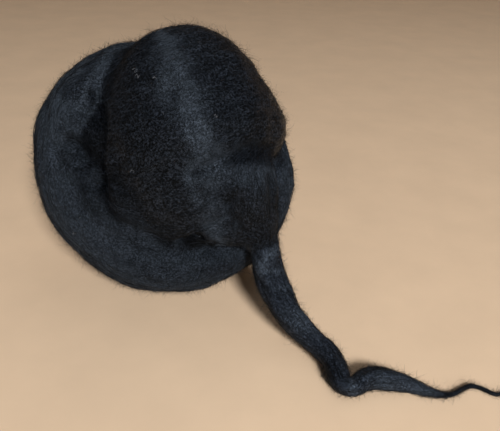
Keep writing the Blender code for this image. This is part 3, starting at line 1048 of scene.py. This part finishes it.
def lint_curls(skin):
    """Short curly threads that lie on the front of the skin."""
    matrix = ball_frame()
    inward = matrix.to_3x3() @ Vector((0, 0, -1))
    tree = BVHTree.FromPolygons(
        [v.co.copy() for v in skin.vertices], [tuple(p.vertices) for p in skin.polygons])
    places, faces = [], []
    for curl in CURLS:
        above = matrix @ Vector((curl.across, curl.up, CURL_DROPPED_FROM))
        middle, normal, _, _ = tree.ray_cast(above, inward)
        if middle is None:
            raise RuntimeError("A curl of lint misses the ball")
        line = curl_line(curl, middle, normal)
        faces += tube_faces(len(places), len(line), LINT_SIDES)
        for i, place in enumerate(line):
            way = (line[min(i + 1, CURL_STEPS)] - line[max(i - 1, 0)]).normalized()
            first = way.cross(normal).normalized()
            second = way.cross(first)
            for k in range(LINT_SIDES):
                angle = 2 * math.pi * k / LINT_SIDES
                places.append(place + (first * math.cos(angle) + second * math.sin(angle)) * LINT_RADIUS)
    mesh = mesh_of("lint_curls", places, faces)
    with editing(mesh) as bm:
        bmesh.ops.recalc_face_normals(bm, faces=bm.faces)
    return mesh


# ----------------------------------------------------------------------------------------------------
# Trees: short ways to add and join nodes


class Value:
    """A node's output. Arithmetic with it adds a maths node for each step."""

    def __init__(self, tree, socket):
        self.tree = tree
        self.socket = socket

    def __add__(self, other):
        return self.tree.sum("ADD", self, other)

    def __radd__(self, other):
        return self.tree.sum("ADD", other, self)

    def __sub__(self, other):
        return self.tree.sum("SUBTRACT", self, other)

    def __rsub__(self, other):
        return self.tree.sum("SUBTRACT", other, self)

    def __mul__(self, other):
        return self.tree.sum("MULTIPLY", self, other)

    def __truediv__(self, other):
        return self.tree.sum("DIVIDE", self, other)

    def __rtruediv__(self, other):
        return self.tree.sum("DIVIDE", other, self)


class Tree:
    """A node tree with short ways to add and join its nodes."""

    def __init__(self, tree):
        self.tree = tree

    def feed(self, socket, value):
        """Joins an output to an input, or sets what the input holds."""
        if isinstance(value, Value):
            self.tree.links.new(value.socket, socket)
        else:
            socket.default_value = value

    def node(self, kind, inputs=None, **settings):
        """A new node, with its settings and what its inputs are fed."""
        made = self.tree.nodes.new(kind)
        for name, value in settings.items():
            setattr(made, name, value)
        for socket, value in (inputs or {}).items():
            self.feed(made.inputs[socket], value)
        return made

    def read(self, kind, output, inputs=None, **settings):
        """An output of a new node."""
        return Value(self, self.node(kind, inputs, **settings).outputs[output])

    def given(self):
        """The group's own inputs, by name."""
        return {socket.name: Value(self, socket) for socket in self.node("NodeGroupInput").outputs}

    def give(self, **results):
        """Feeds the group's own outputs."""
        self.node("NodeGroupOutput", results)

    def sum(self, operation, *values):
        """The output of a maths node, or of a vector maths node where the first value is a vector."""
        vectors = isinstance(values[0], Value) and values[0].socket.type in ("VECTOR", "RGBA")
        if vectors and operation == "MULTIPLY":
            operation = "SCALE"
        made = self.node("ShaderNodeVectorMath" if vectors else "ShaderNodeMath", operation=operation)
        sockets = (made.inputs[0], made.inputs["Scale"]) if operation == "SCALE" else made.inputs
        for socket, value in zip(sockets, values):
            self.feed(socket, value)
        return Value(self, made.outputs["Value" if operation == "DOT_PRODUCT" else 0])


def new_group(name, kind, inputs, outputs):
    """A new node group, with a name, a kind and a default for each of its sockets."""
    group = bpy.data.node_groups.new(name, kind)
    for way, sockets in (("INPUT", inputs), ("OUTPUT", outputs)):
        for socket, sort, default in sockets:
            made = group.interface.new_socket(socket, in_out=way, socket_type="NodeSocket" + sort)
            if default is not None:
                made.default_value = default
    return group


# ----------------------------------------------------------------------------------------------------
# The combing of fibres over a surface

FIBRE_SOCKETS = (
    ("Geometry", "Geometry", None),
    ("Fibres on a square metre", "Float", 100000.0),
    ("Seed", "Int", 1),
    ("Places on a fibre", "Int", 6),
    ("Length", "Float", 0.012),
    ("Thickness", "Float", 0.00009),
    ("Depth at the root", "Float", 0.0001),
    ("Height", "Float", 0.0003),
    ("Free end", "Float", 0.0),
    ("Wander", "Float", 0.25),
    ("Crimp", "Float", 0.0002),
    ("Wool", "Material", None),
    ("Pale wool", "Material", None),
    ("Pale share", "Float", 0.3),
)

# The fibres' own draws: what is added to the seed for each, and the range
Draw = namedtuple("Draw", "seed low high")
LENGTH_DRAW = Draw(3.0, 0.55, 1.25)
WAY_DRAW = Draw(4.0, -1.0, 1.0)
LEAN_DRAW = Draw(5.0, -1.0, 1.0)
HEIGHT_DRAW = Draw(6.0, 0.0, 1.0)
PHASE_DRAW = Draw(7.0, 0.0, 6.28)
THICKNESS_DRAW = Draw(8.0, 0.6, 1.4)
PALENESS_DRAW = Draw(9.0, 0.0, 1.0)
SWING_DRAW = Draw(11.0, -1.0, 1.0)

SWING_SHARE = 0.7
FREE_END_BEND = 1.35
HEIGHT_POWER = 1.6
LOWEST_HEIGHT = 0.1
CRIMP_TURN = 7.5
ENDS_THICKNESS = 0.35
TIP_THINNING = 0.8
HAIR_SIDES = 3
ANYWHERE = -10.0


class FibreTree(Tree):
    """The tree that combs fibres over a surface. Each fibre starts at a random place and is walked along the
    flow, step by step, and is then lifted: in its middle, or by its free end."""

    def __init__(self, tree):
        super().__init__(tree)
        self.wants = self.given()
        self.surface = self.wants["Geometry"]
        self.fibre = self.named("fibre", "INT")
        self.order = self.named("order", "INT")
        self.steps = self.wants["Places on a fibre"] - 1.0
        self.share = self.order / self.steps
        self.arch = self.sum("SINE", self.share * math.pi)
        self.place = self.read("GeometryNodeInputPosition", 0)

    def named(self, name, kind):
        """A named attribute's value."""
        return self.read("GeometryNodeInputNamedAttribute", "Attribute", {"Name": name}, data_type=kind)

    def kept_as(self, geometry, name, kind, value):
        """The geometry with a value kept at each point."""
        return self.read("GeometryNodeStoreNamedAttribute", "Geometry", {
            "Geometry": geometry, "Name": name, "Value": value}, data_type=kind, domain="POINT")

    def on_surface(self, value):
        """A vector of the surface, read where it is nearest."""
        return self.read("GeometryNodeSampleNearestSurface", "Value", {
            "Mesh": self.surface, "Value": value, "Sample Position": self.place}, data_type="FLOAT_VECTOR")

    def directions(self):
        """The way that the wool runs and the way out of the surface, at the nearest place of the surface."""
        normal = self.read("GeometryNodeInputNormal", 0)
        return self.on_surface(self.named("flow", "FLOAT_VECTOR")), self.on_surface(normal)

    def draw(self, draw, also=None):
        """A random number, the same for all of a fibre."""
        added = draw.seed if also is None else also + draw.seed
        made = self.node("FunctionNodeRandomValue", {
            "ID": self.fibre, "Seed": self.wants["Seed"] + added}, data_type="FLOAT")
        for socket in made.inputs:
            if socket.type == "VALUE" and socket.name in ("Min", "Max"):
                socket.default_value = draw.low if socket.name == "Min" else draw.high
        return Value(self, next(s for s in made.outputs if s.type == "VALUE"))

    def moved(self, geometry, **inputs):
        """The geometry, with its points moved."""
        return self.read("GeometryNodeSetPosition", "Geometry", {"Geometry": geometry, **inputs})

    def rooted(self):
        """Rows of places, all of a row's at the root of its fibre."""
        points = self.read("GeometryNodeDistributePointsOnFaces", "Points", {
            "Mesh": self.surface, "Density": self.wants["Fibres on a square metre"],
            "Seed": self.wants["Seed"]}, distribute_method="RANDOM")
        starts = self.kept_as(points, "fibre", "INT", self.read("GeometryNodeInputIndex", 0))
        copies = self.node("GeometryNodeDuplicateElements", {
            "Geometry": starts, "Amount": self.wants["Places on a fibre"]}, domain="POINT")
        copied, order = (Value(self, copies.outputs[name]) for name in ("Geometry", "Duplicate Index"))
        return self.kept_as(copied, "order", "INT", order)

    def walked(self, geometry):
        """Each place taken its number of steps along the flow, swinging from side to side."""
        first, last = (self.node("GeometryNodeRepeat" + end) for end in ("Input", "Output"))
        first.pair_with_output(last)
        for socket, value in (("Iterations", self.steps), ("Geometry", geometry)):
            self.feed(first.inputs[socket], value)
        step, walking = (Value(self, first.outputs[name]) for name in ("Iteration", "Geometry"))
        way, up = self.directions()
        back = self.sum("LESS_THAN", self.sum("DOT_PRODUCT", way, self.named("heading", "FLOAT_VECTOR")), 0.0)
        way = way * (1.0 - back * 2.0)
        side = self.sum("CROSS_PRODUCT", up, way)
        angle = (self.draw(SWING_DRAW, step) * SWING_SHARE + self.draw(LEAN_DRAW)) * self.wants["Wander"]
        heading = way * self.sum("COSINE", angle) + side * self.sum("SINE", angle)
        length = self.wants["Length"] * self.draw(LENGTH_DRAW)
        pace = length / self.steps * self.sum("SIGN", self.draw(WAY_DRAW))
        landed = self.read("GeometryNodeProximity", "Position", {
            0: self.surface, "Sample Position": self.place + heading * pace}, target_element="FACES")
        later = self.node("FunctionNodeCompare", data_type="INT", operation="GREATER_THAN")
        for socket, value in zip([s for s in later.inputs if s.type == "INT"], (self.order, step)):
            self.feed(socket, value)
        ahead = self.moved(
            self.kept_as(walking, "heading", "FLOAT_VECTOR", way),
            Selection=Value(self, later.outputs[0]), Position=landed)
        self.feed(last.inputs["Geometry"], ahead)
        return Value(self, last.outputs["Geometry"])

    def lifted(self, geometry):
        """Each fibre lifted in its middle or by its free end, crimped, and kept above the floor."""
        free = self.wants["Free end"]
        shape = self.arch * (1.0 - free) + self.sum("POWER", self.share, FREE_END_BEND) * free
        some = self.sum("POWER", self.draw(HEIGHT_DRAW), HEIGHT_POWER) + LOWEST_HEIGHT
        depth = self.wants["Depth at the root"]
        height = shape * (self.wants["Height"] * some + depth) - depth
        way, up = self.directions()
        wave = self.sum("SINE", self.draw(PHASE_DRAW) + self.share * CRIMP_TURN)
        sway = wave * self.wants["Crimp"] * shape
        lift = self.moved(geometry, Offset=up * height + self.sum("CROSS_PRODUCT", up, way) * sway)
        return self.moved(lift, Position=self.sum("MAXIMUM", self.place, (ANYWHERE, ANYWHERE, FLOOR_GAP)))

    def hairs(self, geometry):
        """A tapering hair through the places of each fibre."""
        free = self.wants["Free end"]
        tip = 1.0 - self.share * TIP_THINNING
        taper = (self.arch * (1 - ENDS_THICKNESS) + ENDS_THICKNESS) * (1.0 - free) + tip * free
        radius = self.wants["Thickness"] * 0.5 * (taper * self.draw(THICKNESS_DRAW))
        strung = self.read("GeometryNodePointsToCurves", 0, {
            "Points": geometry, "Curve Group ID": self.fibre, "Weight": self.order})
        toned = self.kept_as(strung, "paleness", "FLOAT", self.draw(PALENESS_DRAW))
        ring = self.read("GeometryNodeCurvePrimitiveCircle", "Curve", {
            "Resolution": HAIR_SIDES, "Radius": 1.0}, mode="RADIUS")
        tube = self.read("GeometryNodeCurveToMesh", "Mesh", {
            "Curve": toned, "Profile Curve": ring, "Scale": radius, "Fill Caps": True})
        return self.read("GeometryNodeRealizeInstances", "Geometry", {"Geometry": tube})

    def dressed(self, geometry):
        """The hairs in their two tones."""
        worn = self.read("GeometryNodeSetMaterial", "Geometry", {
            "Geometry": geometry, "Material": self.wants["Wool"]})
        picked = self.read("FunctionNodeCompare", 0, {
            "A": self.named("paleness", "FLOAT"), "B": self.wants["Pale share"]},
            data_type="FLOAT", operation="LESS_THAN")
        return self.read("GeometryNodeSetMaterial", "Geometry", {
            "Geometry": worn, "Selection": picked, "Material": self.wants["Pale wool"]})


def combing_group():
    """The node group that combs fibres over a surface."""
    group = bpy.data.node_groups.get("Combed fibres")
    if group:
        return group
    group = new_group("Combed fibres", "GeometryNodeTree", FIBRE_SOCKETS, (("Geometry", "Geometry", None),))
    tree = FibreTree(group)
    tree.give(Geometry=tree.dressed(tree.hairs(tree.lifted(tree.walked(tree.rooted())))))
    return group


# What the fibres carry only while they are combed
CARRIED = ("fibre", "order", "flow", "gloss", "hollow", "heading", "paleness")


def comb(name, surface, wool, pale, **sizes):
    """A piece of fibres combed over a surface's mesh, in two tones."""
    group = combing_group()
    carrier = add_object(name + "_carrier", surface.copy())
    modifier = carrier.modifiers.new("comb", "NODES")
    modifier.node_group = group
    wanted = {key.replace("_", " "): value for key, value in sizes.items()}
    wanted |= {"Wool": wool, "Pale wool": pale}
    for item in group.interface.items_tree:
        if item.in_out == "INPUT" and item.name in wanted:
            modifier[item.identifier] = wanted.pop(item.name)
    if wanted:
        raise RuntimeError(f"The combing tree has no {', '.join(wanted)}")
    carrier.update_tag()
    mesh = plain_mesh(carrier, name)
    spare = carrier.data
    carrier.modifiers.clear()
    bpy.data.objects.remove(carrier)
    bpy.data.meshes.remove(spare)
    for attribute in [a.name for a in mesh.attributes if a.name in CARRIED]:
        mesh.attributes.remove(mesh.attributes[attribute])
    mesh.shade_smooth()
    if not mesh.polygons:
        raise RuntimeError(f"{name} came out empty")
    return add_object(name, mesh)


# ----------------------------------------------------------------------------------------------------
# Materials

CLOUD_SIZE = 0.009
MOTTLE_SIZE = 0.0006
DRIFT_SIZE = 0.0035
DRIFT = 0.0011
BUMP_HEIGHT = 0.00020

# How far the fibres of the skin lie astray, and over what length
STREW_SIZE = 0.0008
STREW = 0.4
MID_GREY = (0.5, 0.5, 0.5)

# How the wool's shade and roughness follow its own noise, gloss and hollows: from one range to another
Range = namedtuple("Range", "low high to_low to_high", defaults=(0.0, 1.0))
LEAST_SHADE = 0.25
SHADE_BY_STREAK = Range(0.38, 0.66)
SHADE_BY_MOTTLE = Range(0.45, 0.61)
ROUGH_BY_CLOUD = Range(0.3, 0.7, 0.33, 0.47)
ROUGH_BY_MOTTLE = Range(0.40, 0.62, 0.24, 0.0)
ROUGH_BY_GLOSS = Range(0.0, 1.0, 0.33, 0.0)

# Painted shade in the hollows: what a hollow keeps of its colour, and how far its sheen is dimmed there by
# making it metallic over the dark colour
PAINTED_SHADE_BY_HOLLOW = Range(0.0, 1.0, 1.0, 0.45)
PAINTED_SHADE_ON_SHEEN = Range(0.0, 1.0, 0.0, 0.65)

# The cool sheen of the skin and of a single fibre: its strength and tint, and how far it is drawn out
SHEEN = 0.27
SHEEN_TINT = (0.63, 0.785, 0.98, 1)
SHEEN_DRAWN_OUT = 0.96
FIBRE_SHEEN = 0.16
FIBRE_SHEEN_TINT = (0.80, 0.90, 1.0, 1)

# Broad streaks against fine ones: their width and their run
BROAD_STREAK_WIDTH = 3.6
BROAD_STREAK_RUN = 1.8

# The darkest wool and the palest streaks, as shares of the set colours. The loose end is laid more openly.
Shades = namedtuple("Shades", "darkest palest")
BALL_SHADES = Shades(0.4, 1.0)
END_SHADES = Shades(7.0, 1.8)

# The floor's slight unevenness
PATCH_SIZE = 0.03
PATCH_DEPTH = 0.035
PATCH_RANGE = Range(0.3, 0.7)


def attribute_of(tree, name, output):
    """A mesh attribute, as a material reads it."""
    return tree.read("ShaderNodeAttribute", output, attribute_name=name, attribute_type="GEOMETRY")


def noise_of(tree, vector, scale, detail, roughness, output=0):
    """A noise texture's output."""
    return tree.read("ShaderNodeTexNoise", output, {
        "Vector": vector, "Scale": scale, "Detail": detail, "Roughness": roughness})


def spread_of(tree, value, row):
    """A value carried from one range to another, and held inside it."""
    return tree.read("ShaderNodeMapRange", 0, dict(enumerate((value, *row))))


def mixed(tree, share, first, second):
    """A colour between two."""
    made = tree.node("ShaderNodeMix", {0: share}, data_type="RGBA")
    for socket, colour in zip([s for s in made.inputs if s.type == "RGBA"], (first, second)):
        socket.default_value = (*colour, 1)
    return Value(tree, next(s for s in made.outputs if s.type == "RGBA"))


def stretched(tree, across, along, pitch, run):
    """A vector that counts pitches across and runs along."""
    return tree.read("ShaderNodeCombineXYZ", 0, {0: across / pitch, 1: along / run})


def combed_group():
    """Streaks and relief that follow the combing, for every skin of wool."""
    found = bpy.data.node_groups.get("Combed wool")
    if found:
        return found
    group = new_group(
        "Combed wool", "ShaderNodeTree",
        (("Pitch", "Float", 0.00032), ("Run", "Float", 0.009), ("Mottle size", "Float", 0.0007),
         ("Combing", "Vector", None), ("Place", "Vector", None)),
        [(name, "Float", None) for name in ("Streaks", "Mottle", "Height")])
    tree = Tree(group)
    given = tree.given()
    pitch, run, place = given["Pitch"], given["Run"], given["Place"]
    parts = tree.node("ShaderNodeSeparateXYZ", {0: given["Combing"]}).outputs
    across, along = Value(tree, parts[0]), Value(tree, parts[1])
    across = across + noise_of(tree, place, 1 / DRIFT_SIZE, detail=2.0, roughness=0.5) * DRIFT
    streak = stretched(tree, across, along, pitch, run)
    fine = noise_of(tree, streak, 1.0, detail=3.0, roughness=0.62)
    streak = stretched(tree, across, along, pitch * BROAD_STREAK_WIDTH, run * BROAD_STREAK_RUN)
    broad = noise_of(tree, streak, 1.0, detail=2.0, roughness=0.55)
    mottle = noise_of(tree, place, 1.0 / given["Mottle size"], detail=3.0, roughness=0.7)
    tree.give(Streaks=fine * 0.5 + broad * 0.5, Mottle=mottle, Height=fine * 0.4 + mottle * 0.6)
    return group


def new_material(name):
    """A new material, with its tree and its surface's inputs."""
    material = bpy.data.materials.new(name)
    material.use_nodes = True
    return material, Tree(material.node_tree), material.node_tree.nodes["Principled BSDF"].inputs


def wool_skin(name, settings, pitch, run, shades):
    """Combed dark wool: streaks along the fibres, a mottle of loose ends, a broad cool sheen, and painted
    shade in its hollows on both its colour and its sheen.
    """
    material, tree, surface = new_material(name)
    place = tree.read("ShaderNodeTexCoord", "Object")
    mapped = tree.read("ShaderNodeUVMap", 0, uv_map="Combing")
    combed = tree.node("ShaderNodeGroup", node_tree=combed_group())
    for socket, value in (
        ("Pitch", pitch), ("Run", run), ("Mottle size", MOTTLE_SIZE), ("Combing", mapped), ("Place", place),
    ):
        tree.feed(combed.inputs[socket], value)
    streaks, mottle, height = (Value(tree, combed.outputs[name]) for name in ("Streaks", "Mottle", "Height"))
    hollow, gloss = attribute_of(tree, "hollow", "Fac"), attribute_of(tree, "gloss", "Fac")

    shade = LEAST_SHADE + spread_of(tree, streaks, SHADE_BY_STREAK)
    shade = shade * spread_of(tree, mottle, SHADE_BY_MOTTLE)
    # Painted shade: the colour darkens in the hollows
    shade = shade * spread_of(tree, hollow, PAINTED_SHADE_BY_HOLLOW)
    darkest = [shades.darkest * c for c in settings.colour]
    palest = [shades.palest * c for c in settings.pale]
    tree.feed(surface["Base Color"], mixed(tree, shade, darkest, palest))

    clouds = noise_of(tree, place, 1 / CLOUD_SIZE, detail=2.0, roughness=0.5)
    clouds = spread_of(tree, clouds, ROUGH_BY_CLOUD)
    matt = spread_of(tree, mottle, ROUGH_BY_MOTTLE) + clouds
    tree.feed(surface["Roughness"], matt + spread_of(tree, gloss, ROUGH_BY_GLOSS))
    # Painted shade on the sheen: the hollows turn metallic, so their sheen takes on the dark colour
    tree.feed(surface["Metallic"], spread_of(tree, hollow, PAINTED_SHADE_ON_SHEEN))
    surface["Specular IOR Level"].default_value = SHEEN
    surface["Specular Tint"].default_value = SHEEN_TINT
    surface["Anisotropic"].default_value = SHEEN_DRAWN_OUT

    # The sheen is drawn out across the fibres
    across = tree.sum(
        "CROSS_PRODUCT", tree.read("ShaderNodeNewGeometry", "Normal"), attribute_of(tree, "flow", "Vector"))
    astray = noise_of(tree, place, 1 / STREW_SIZE, detail=3.0, roughness=0.65, output="Color") - MID_GREY
    tree.feed(surface["Tangent"], across + astray * STREW)
    tree.feed(surface["Normal"], tree.read("ShaderNodeBump", 0, {
        "Strength": 1.0, "Distance": BUMP_HEIGHT, "Height": height}))
    return material


def fibre_material(name, colour, roughness=0.45):
    """One fibre's own finish: its colour, and a soft cool gloss along it."""
    material, _, surface = new_material(name)
    surface["Base Color"].default_value = (*colour, 1)
    surface["Roughness"].default_value = roughness
    surface["Specular IOR Level"].default_value = FIBRE_SHEEN
    surface["Specular Tint"].default_value = FIBRE_SHEEN_TINT
    return material


def floor_material(colour):
    """A matt material for the stage, with a very slight unevenness."""
    material, tree, surface = new_material("floor")
    place = tree.read("ShaderNodeTexCoord", "Object")
    patches = noise_of(tree, place, 1 / PATCH_SIZE, detail=4.0, roughness=0.6)
    ends = [[share * c for c in colour] for share in (1 - PATCH_DEPTH, 1 + PATCH_DEPTH)]
    tree.feed(surface["Base Color"], mixed(tree, spread_of(tree, patches, PATCH_RANGE), *ends))
    surface["Roughness"].default_value = 0.8
    surface["Specular IOR Level"].default_value = 0.2
    return material


# ----------------------------------------------------------------------------------------------------
# The stage

CAMERA_AT = (0.0304, -0.2033, 0.1306)
CAMERA_DOWN = math.radians(27.9)
CAMERA_ROLL = math.radians(-2.1)
CAMERA_LENS = 45.5
CAMERA_SENSOR = 36.0
CAMERA_NEAR = 0.01

# The floor: how far it goes to each side, towards the camera and back, the radius of its sweep, and its top
FLOOR_HALF = 3.5
FLOOR_FRONT = -3.0
FLOOR_BACK = 0.9
SWEEP_RADIUS = 0.6
SWEEP_STEPS = 16
SWEEP_START = 0.1
FLOOR_TOP = 3.0

# The lights: place, size across and share of the key's power
Lamp = namedtuple("Lamp", "name place size share")
LAMPS = (
    Lamp("key", (0.310, -1.010, 0.640), 0.23, 1.0),
    Lamp("overhead", (0.133, 0.161, 0.915), 0.80, 0.04),
)
LAMPS_AIM = (0.01, -0.01, 0.04)
ROOM_COLOUR = (0.93, 0.96, 1.0, 1)


def build_camera(scene):
    """The camera at the photograph's viewing angle."""
    ahead = Vector((0, math.cos(CAMERA_DOWN), -math.sin(CAMERA_DOWN)))
    right = Vector((1, 0, 0))
    down = ahead.cross(right)
    c, s = math.cos(CAMERA_ROLL), math.sin(CAMERA_ROLL)
    across = right * c + down * s
    below = down * c - right * s
    data = bpy.data.cameras.new("camera")
    data.sensor_width = CAMERA_SENSOR
    data.lens = CAMERA_LENS
    data.clip_start = CAMERA_NEAR
    camera = bpy.data.objects.new("camera", data)
    camera.matrix_world = Matrix((across, -below, -ahead)).transposed().to_4x4()
    camera.location = CAMERA_AT
    scene.collection.objects.link(camera)
    scene.camera = camera


def build_floor(settings):
    """A plain floor that sweeps up behind."""
    profile = [(FLOOR_FRONT, 0.0), (FLOOR_BACK, 0.0)]
    profile += [
        (FLOOR_BACK + SWEEP_RADIUS * math.sin(a), SWEEP_RADIUS - SWEEP_RADIUS * math.cos(a))
        for a in np.linspace(SWEEP_START, math.pi / 2, SWEEP_STEPS)]
    profile.append((FLOOR_BACK + SWEEP_RADIUS, FLOOR_TOP))
    places = [(x, y, z) for x in (-FLOOR_HALF, FLOOR_HALF) for y, z in profile]
    count = len(profile)
    faces = [(i, count + i, count + i + 1, i + 1) for i in range(count - 1)]
    floor = add_object("floor", mesh_of("floor", places, faces), floor_material(settings.floor_colour))


def build_lights(scene, settings):
    """A soft key at the right of the camera and above it, a broad light overhead and an even room."""
    for row in LAMPS:
        data = bpy.data.lights.new(row.name, "AREA")
        data.shape = "DISK"
        data.size = row.size
        data.energy = row.share * settings.key_power
        lamp = bpy.data.objects.new(row.name, data)
        scene.collection.objects.link(lamp)
        place = Vector(row.place)
        turn = (place - Vector(LAMPS_AIM)).to_track_quat("Z", "Y")
        lamp.matrix_world = Matrix.LocRotScale(place, turn, None)
    world = bpy.data.worlds.new("room")
    world.use_nodes = True
    back = world.node_tree.nodes["Background"].inputs
    back["Color"].default_value = ROOM_COLOUR
    back["Strength"].default_value = settings.room_light
    scene.world = world
    scene.view_settings.view_transform = "Standard"


# ----------------------------------------------------------------------------------------------------
# Operators

# Layers of combed fibres: their piece, the piece they lie on, its slot, their seed and share of the number
Layer = namedtuple("Layer", "name surface slot seed share")
COMBED_LAYERS = (
    Layer("combed_fibres", "wound_skin", "black_wool", 101, 1.3),
    Layer("drawn_fibres", "drawn_end", "black_wool_end", 404, 2.2),
)

# Layers of fuzz, with the places on each hair, its length as a share of the set length, and its height
FuzzLayer = namedtuple("FuzzLayer", (*Layer._fields, "places", "long", "height"))
FUZZ_LAYERS = (
    FuzzLayer("surface_fuzz_a", "wound_skin", "black_wool", 505, 1.3, 3, 1.0, 0.0020),
    FuzzLayer("surface_fuzz_b", "wound_skin", "black_wool", 606, 1.3, 3, 1.0, 0.0020),
    FuzzLayer("surface_fuzz_c", "wound_skin", "black_wool", 707, 1.3, 3, 1.0, 0.0020),
    FuzzLayer("stray_hairs", "wound_skin", "black_wool", 808, 0.50, 6, 2.0, 0.0036),
    FuzzLayer("drawn_fuzz", "drawn_end", "black_wool_end", 909, 7.0, 3, 0.9, 0.0018),
    FuzzLayer("drawn_strays", "drawn_end", "black_wool_end", 1010, 1.6, 6, 1.5, 0.0034),
)


def finish_piece(piece, slot, *nodes):
    """Attaches a piece to the root body, and hides the frame's parts that it stands in for."""
    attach(piece, "root")
    if nodes:
        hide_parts(*nodes)


class ROVING_OT_stage(bpy.types.Operator):
    """Makes the plain floor, its lights and the camera"""

    bl_idname = "roving.stage"
    bl_label = "Stage"

    def execute(self, context):
        settings = context.scene.roving_stage
        build_camera(context.scene)
        build_floor(settings)
        build_lights(context.scene, settings)
        return {"FINISHED"}


class ROVING_OT_loose_end(bpy.types.Operator):
    """Makes the drawn-out loose end, with its kink and its wisp"""

    bl_idname = "roving.loose_end"
    bl_label = "Loose end"

    def execute(self, context):
        mesh, centres = build_end_mesh()
        wool = wool_skin(
            "drawn_wool", context.scene.roving_skin, pitch=0.00028, run=0.008, shades=END_SHADES)
        piece = add_object("drawn_end", mesh, wool)
        finish_piece(piece, "black_wool_end", "loose_end")
        long = float(np.linalg.norm(np.diff(centres, axis=0), axis=1).sum())
        return {"FINISHED"}


class ROVING_OT_skin(bpy.types.Operator):
    """Makes the wound skin of the ball"""

    bl_idname = "roving.skin"
    bl_label = "Wound skin"

    def execute(self, context):
        settings = context.scene.roving_skin
        mesh = build_skin(settings)
        wool = wool_skin("combed_wool", settings, pitch=0.00032, run=0.009, shades=BALL_SHADES)
        piece = add_object("wound_skin", mesh, wool)
        finish_piece(piece, "black_wool", "roving_ball")
        return {"FINISHED"}


class ROVING_OT_fibres(bpy.types.Operator):
    """Combs fibres over the ball and along its loose end"""

    bl_idname = "roving.fibres"
    bl_label = "Combed fibres"

    def execute(self, context):
        settings = context.scene.roving_fibres
        wool = fibre_material("fibre_wool", settings.colour)
        # Pale fibres: a random paler tone, and also painted glints
        pale = fibre_material("fibre_wool_pale", settings.pale)
        for layer in COMBED_LAYERS:
            piece = comb(
                layer.name, bpy.data.objects[layer.surface].data, wool, pale,
                Fibres_on_a_square_metre=settings.per_area * layer.share, Seed=layer.seed,
                Places_on_a_fibre=5, Length=settings.length, Thickness=settings.thickness,
                Depth_at_the_root=0.0001, Height=0.0005, Free_end=0.0, Wander=0.4, Crimp=0.0004,
                Pale_share=0.22)
            finish_piece(piece, layer.slot)
        return {"FINISHED"}


class ROVING_OT_fuzz(bpy.types.Operator):
    """Raises the short fuzz that stands off the wool"""

    bl_idname = "roving.fuzz"
    bl_label = "Fuzz"

    def execute(self, context):
        settings = context.scene.roving_fibres
        wool = fibre_material("fuzz_wool", settings.colour, 0.5)
        # Pale fuzz: a random paler tone, and also painted glints
        pale = fibre_material("fuzz_wool_pale", settings.pale)
        for layer in FUZZ_LAYERS:
            piece = comb(
                layer.name, bpy.data.objects[layer.surface].data, wool, pale,
                Fibres_on_a_square_metre=settings.fuzz_per_area * layer.share, Seed=layer.seed,
                Places_on_a_fibre=layer.places, Length=settings.fuzz_length * layer.long,
                Thickness=settings.fuzz_thickness, Depth_at_the_root=0.00015, Height=layer.height,
                Free_end=1.0, Wander=1.6, Crimp=0.0005 * layer.long, Pale_share=0.18)
            finish_piece(piece, layer.slot)
        return {"FINISHED"}


class ROVING_OT_lint(bpy.types.Operator):
    """Puts pale curls and flecks of lint on the ball"""

    bl_idname = "roving.lint"
    bl_label = "Lint"

    def execute(self, context):
        settings = context.scene.roving_fibres
        skin = bpy.data.objects["wound_skin"].data
        pale = fibre_material("lint_pale", settings.lint_colour, 0.6)
        grey = fibre_material("lint_grey", [LINT_GREY * c for c in settings.lint_colour], 0.6)
        curls = add_object("lint_curls", lint_curls(skin), pale)
        flecks = comb(
            "lint_flecks", skin, grey, pale,
            Fibres_on_a_square_metre=settings.lint_per_area, Seed=1111, Places_on_a_fibre=6,
            Length=0.0011, Thickness=0.00007, Depth_at_the_root=0.00005, Height=0.0006,
            Free_end=0.3, Wander=2.5, Crimp=0.0002, Pale_share=0.35)
        for piece in (curls, flecks):
            finish_piece(piece, "black_wool")
        return {"FINISHED"}


class ROVING_PT_panel(bpy.types.Panel):
    """The steps that dress the ball, in the sidebar"""

    bl_label = "Roving ball"
    bl_space_type = "VIEW_3D"
    bl_region_type = "UI"
    bl_category = "Roving"

    def draw(self, context):
        for settings in (context.scene.roving_skin, context.scene.roving_fibres, context.scene.roving_stage):
            box = self.layout.box()
            for name in settings.__annotations__:
                box.prop(settings, name)
        for step in STEPS:
            self.layout.operator(step.bl_idname)


# ----------------------------------------------------------------------------------------------------
# Registering, and the steps in order

STEPS = (
    ROVING_OT_stage, ROVING_OT_loose_end, ROVING_OT_skin, ROVING_OT_fibres, ROVING_OT_fuzz, ROVING_OT_lint)
CLASSES = (SkinSettings, FibreSettings, StageSettings, *STEPS, ROVING_PT_panel)


def register():
    """Adds the settings, the steps and the panel to Blender."""
    for kind in CLASSES:
        bpy.utils.register_class(kind)
    bpy.types.Scene.roving_skin = PointerProperty(type=SkinSettings)
    bpy.types.Scene.roving_fibres = PointerProperty(type=FibreSettings)
    bpy.types.Scene.roving_stage = PointerProperty(type=StageSettings)


def unregister():
    """Takes them away again."""
    for name in ("roving_stage", "roving_fibres", "roving_skin"):
        delattr(bpy.types.Scene, name)
    for kind in reversed(CLASSES):
        bpy.utils.unregister_class(kind)


def main():
    """Dresses the frame, step by step."""
    register()
    bpy.ops.roving.stage()
    bpy.ops.roving.loose_end()
    bpy.ops.roving.skin()
    bpy.ops.roving.fibres()
    bpy.ops.roving.fuzz()
    bpy.ops.roving.lint()


if __name__ == "__main__":
    main()
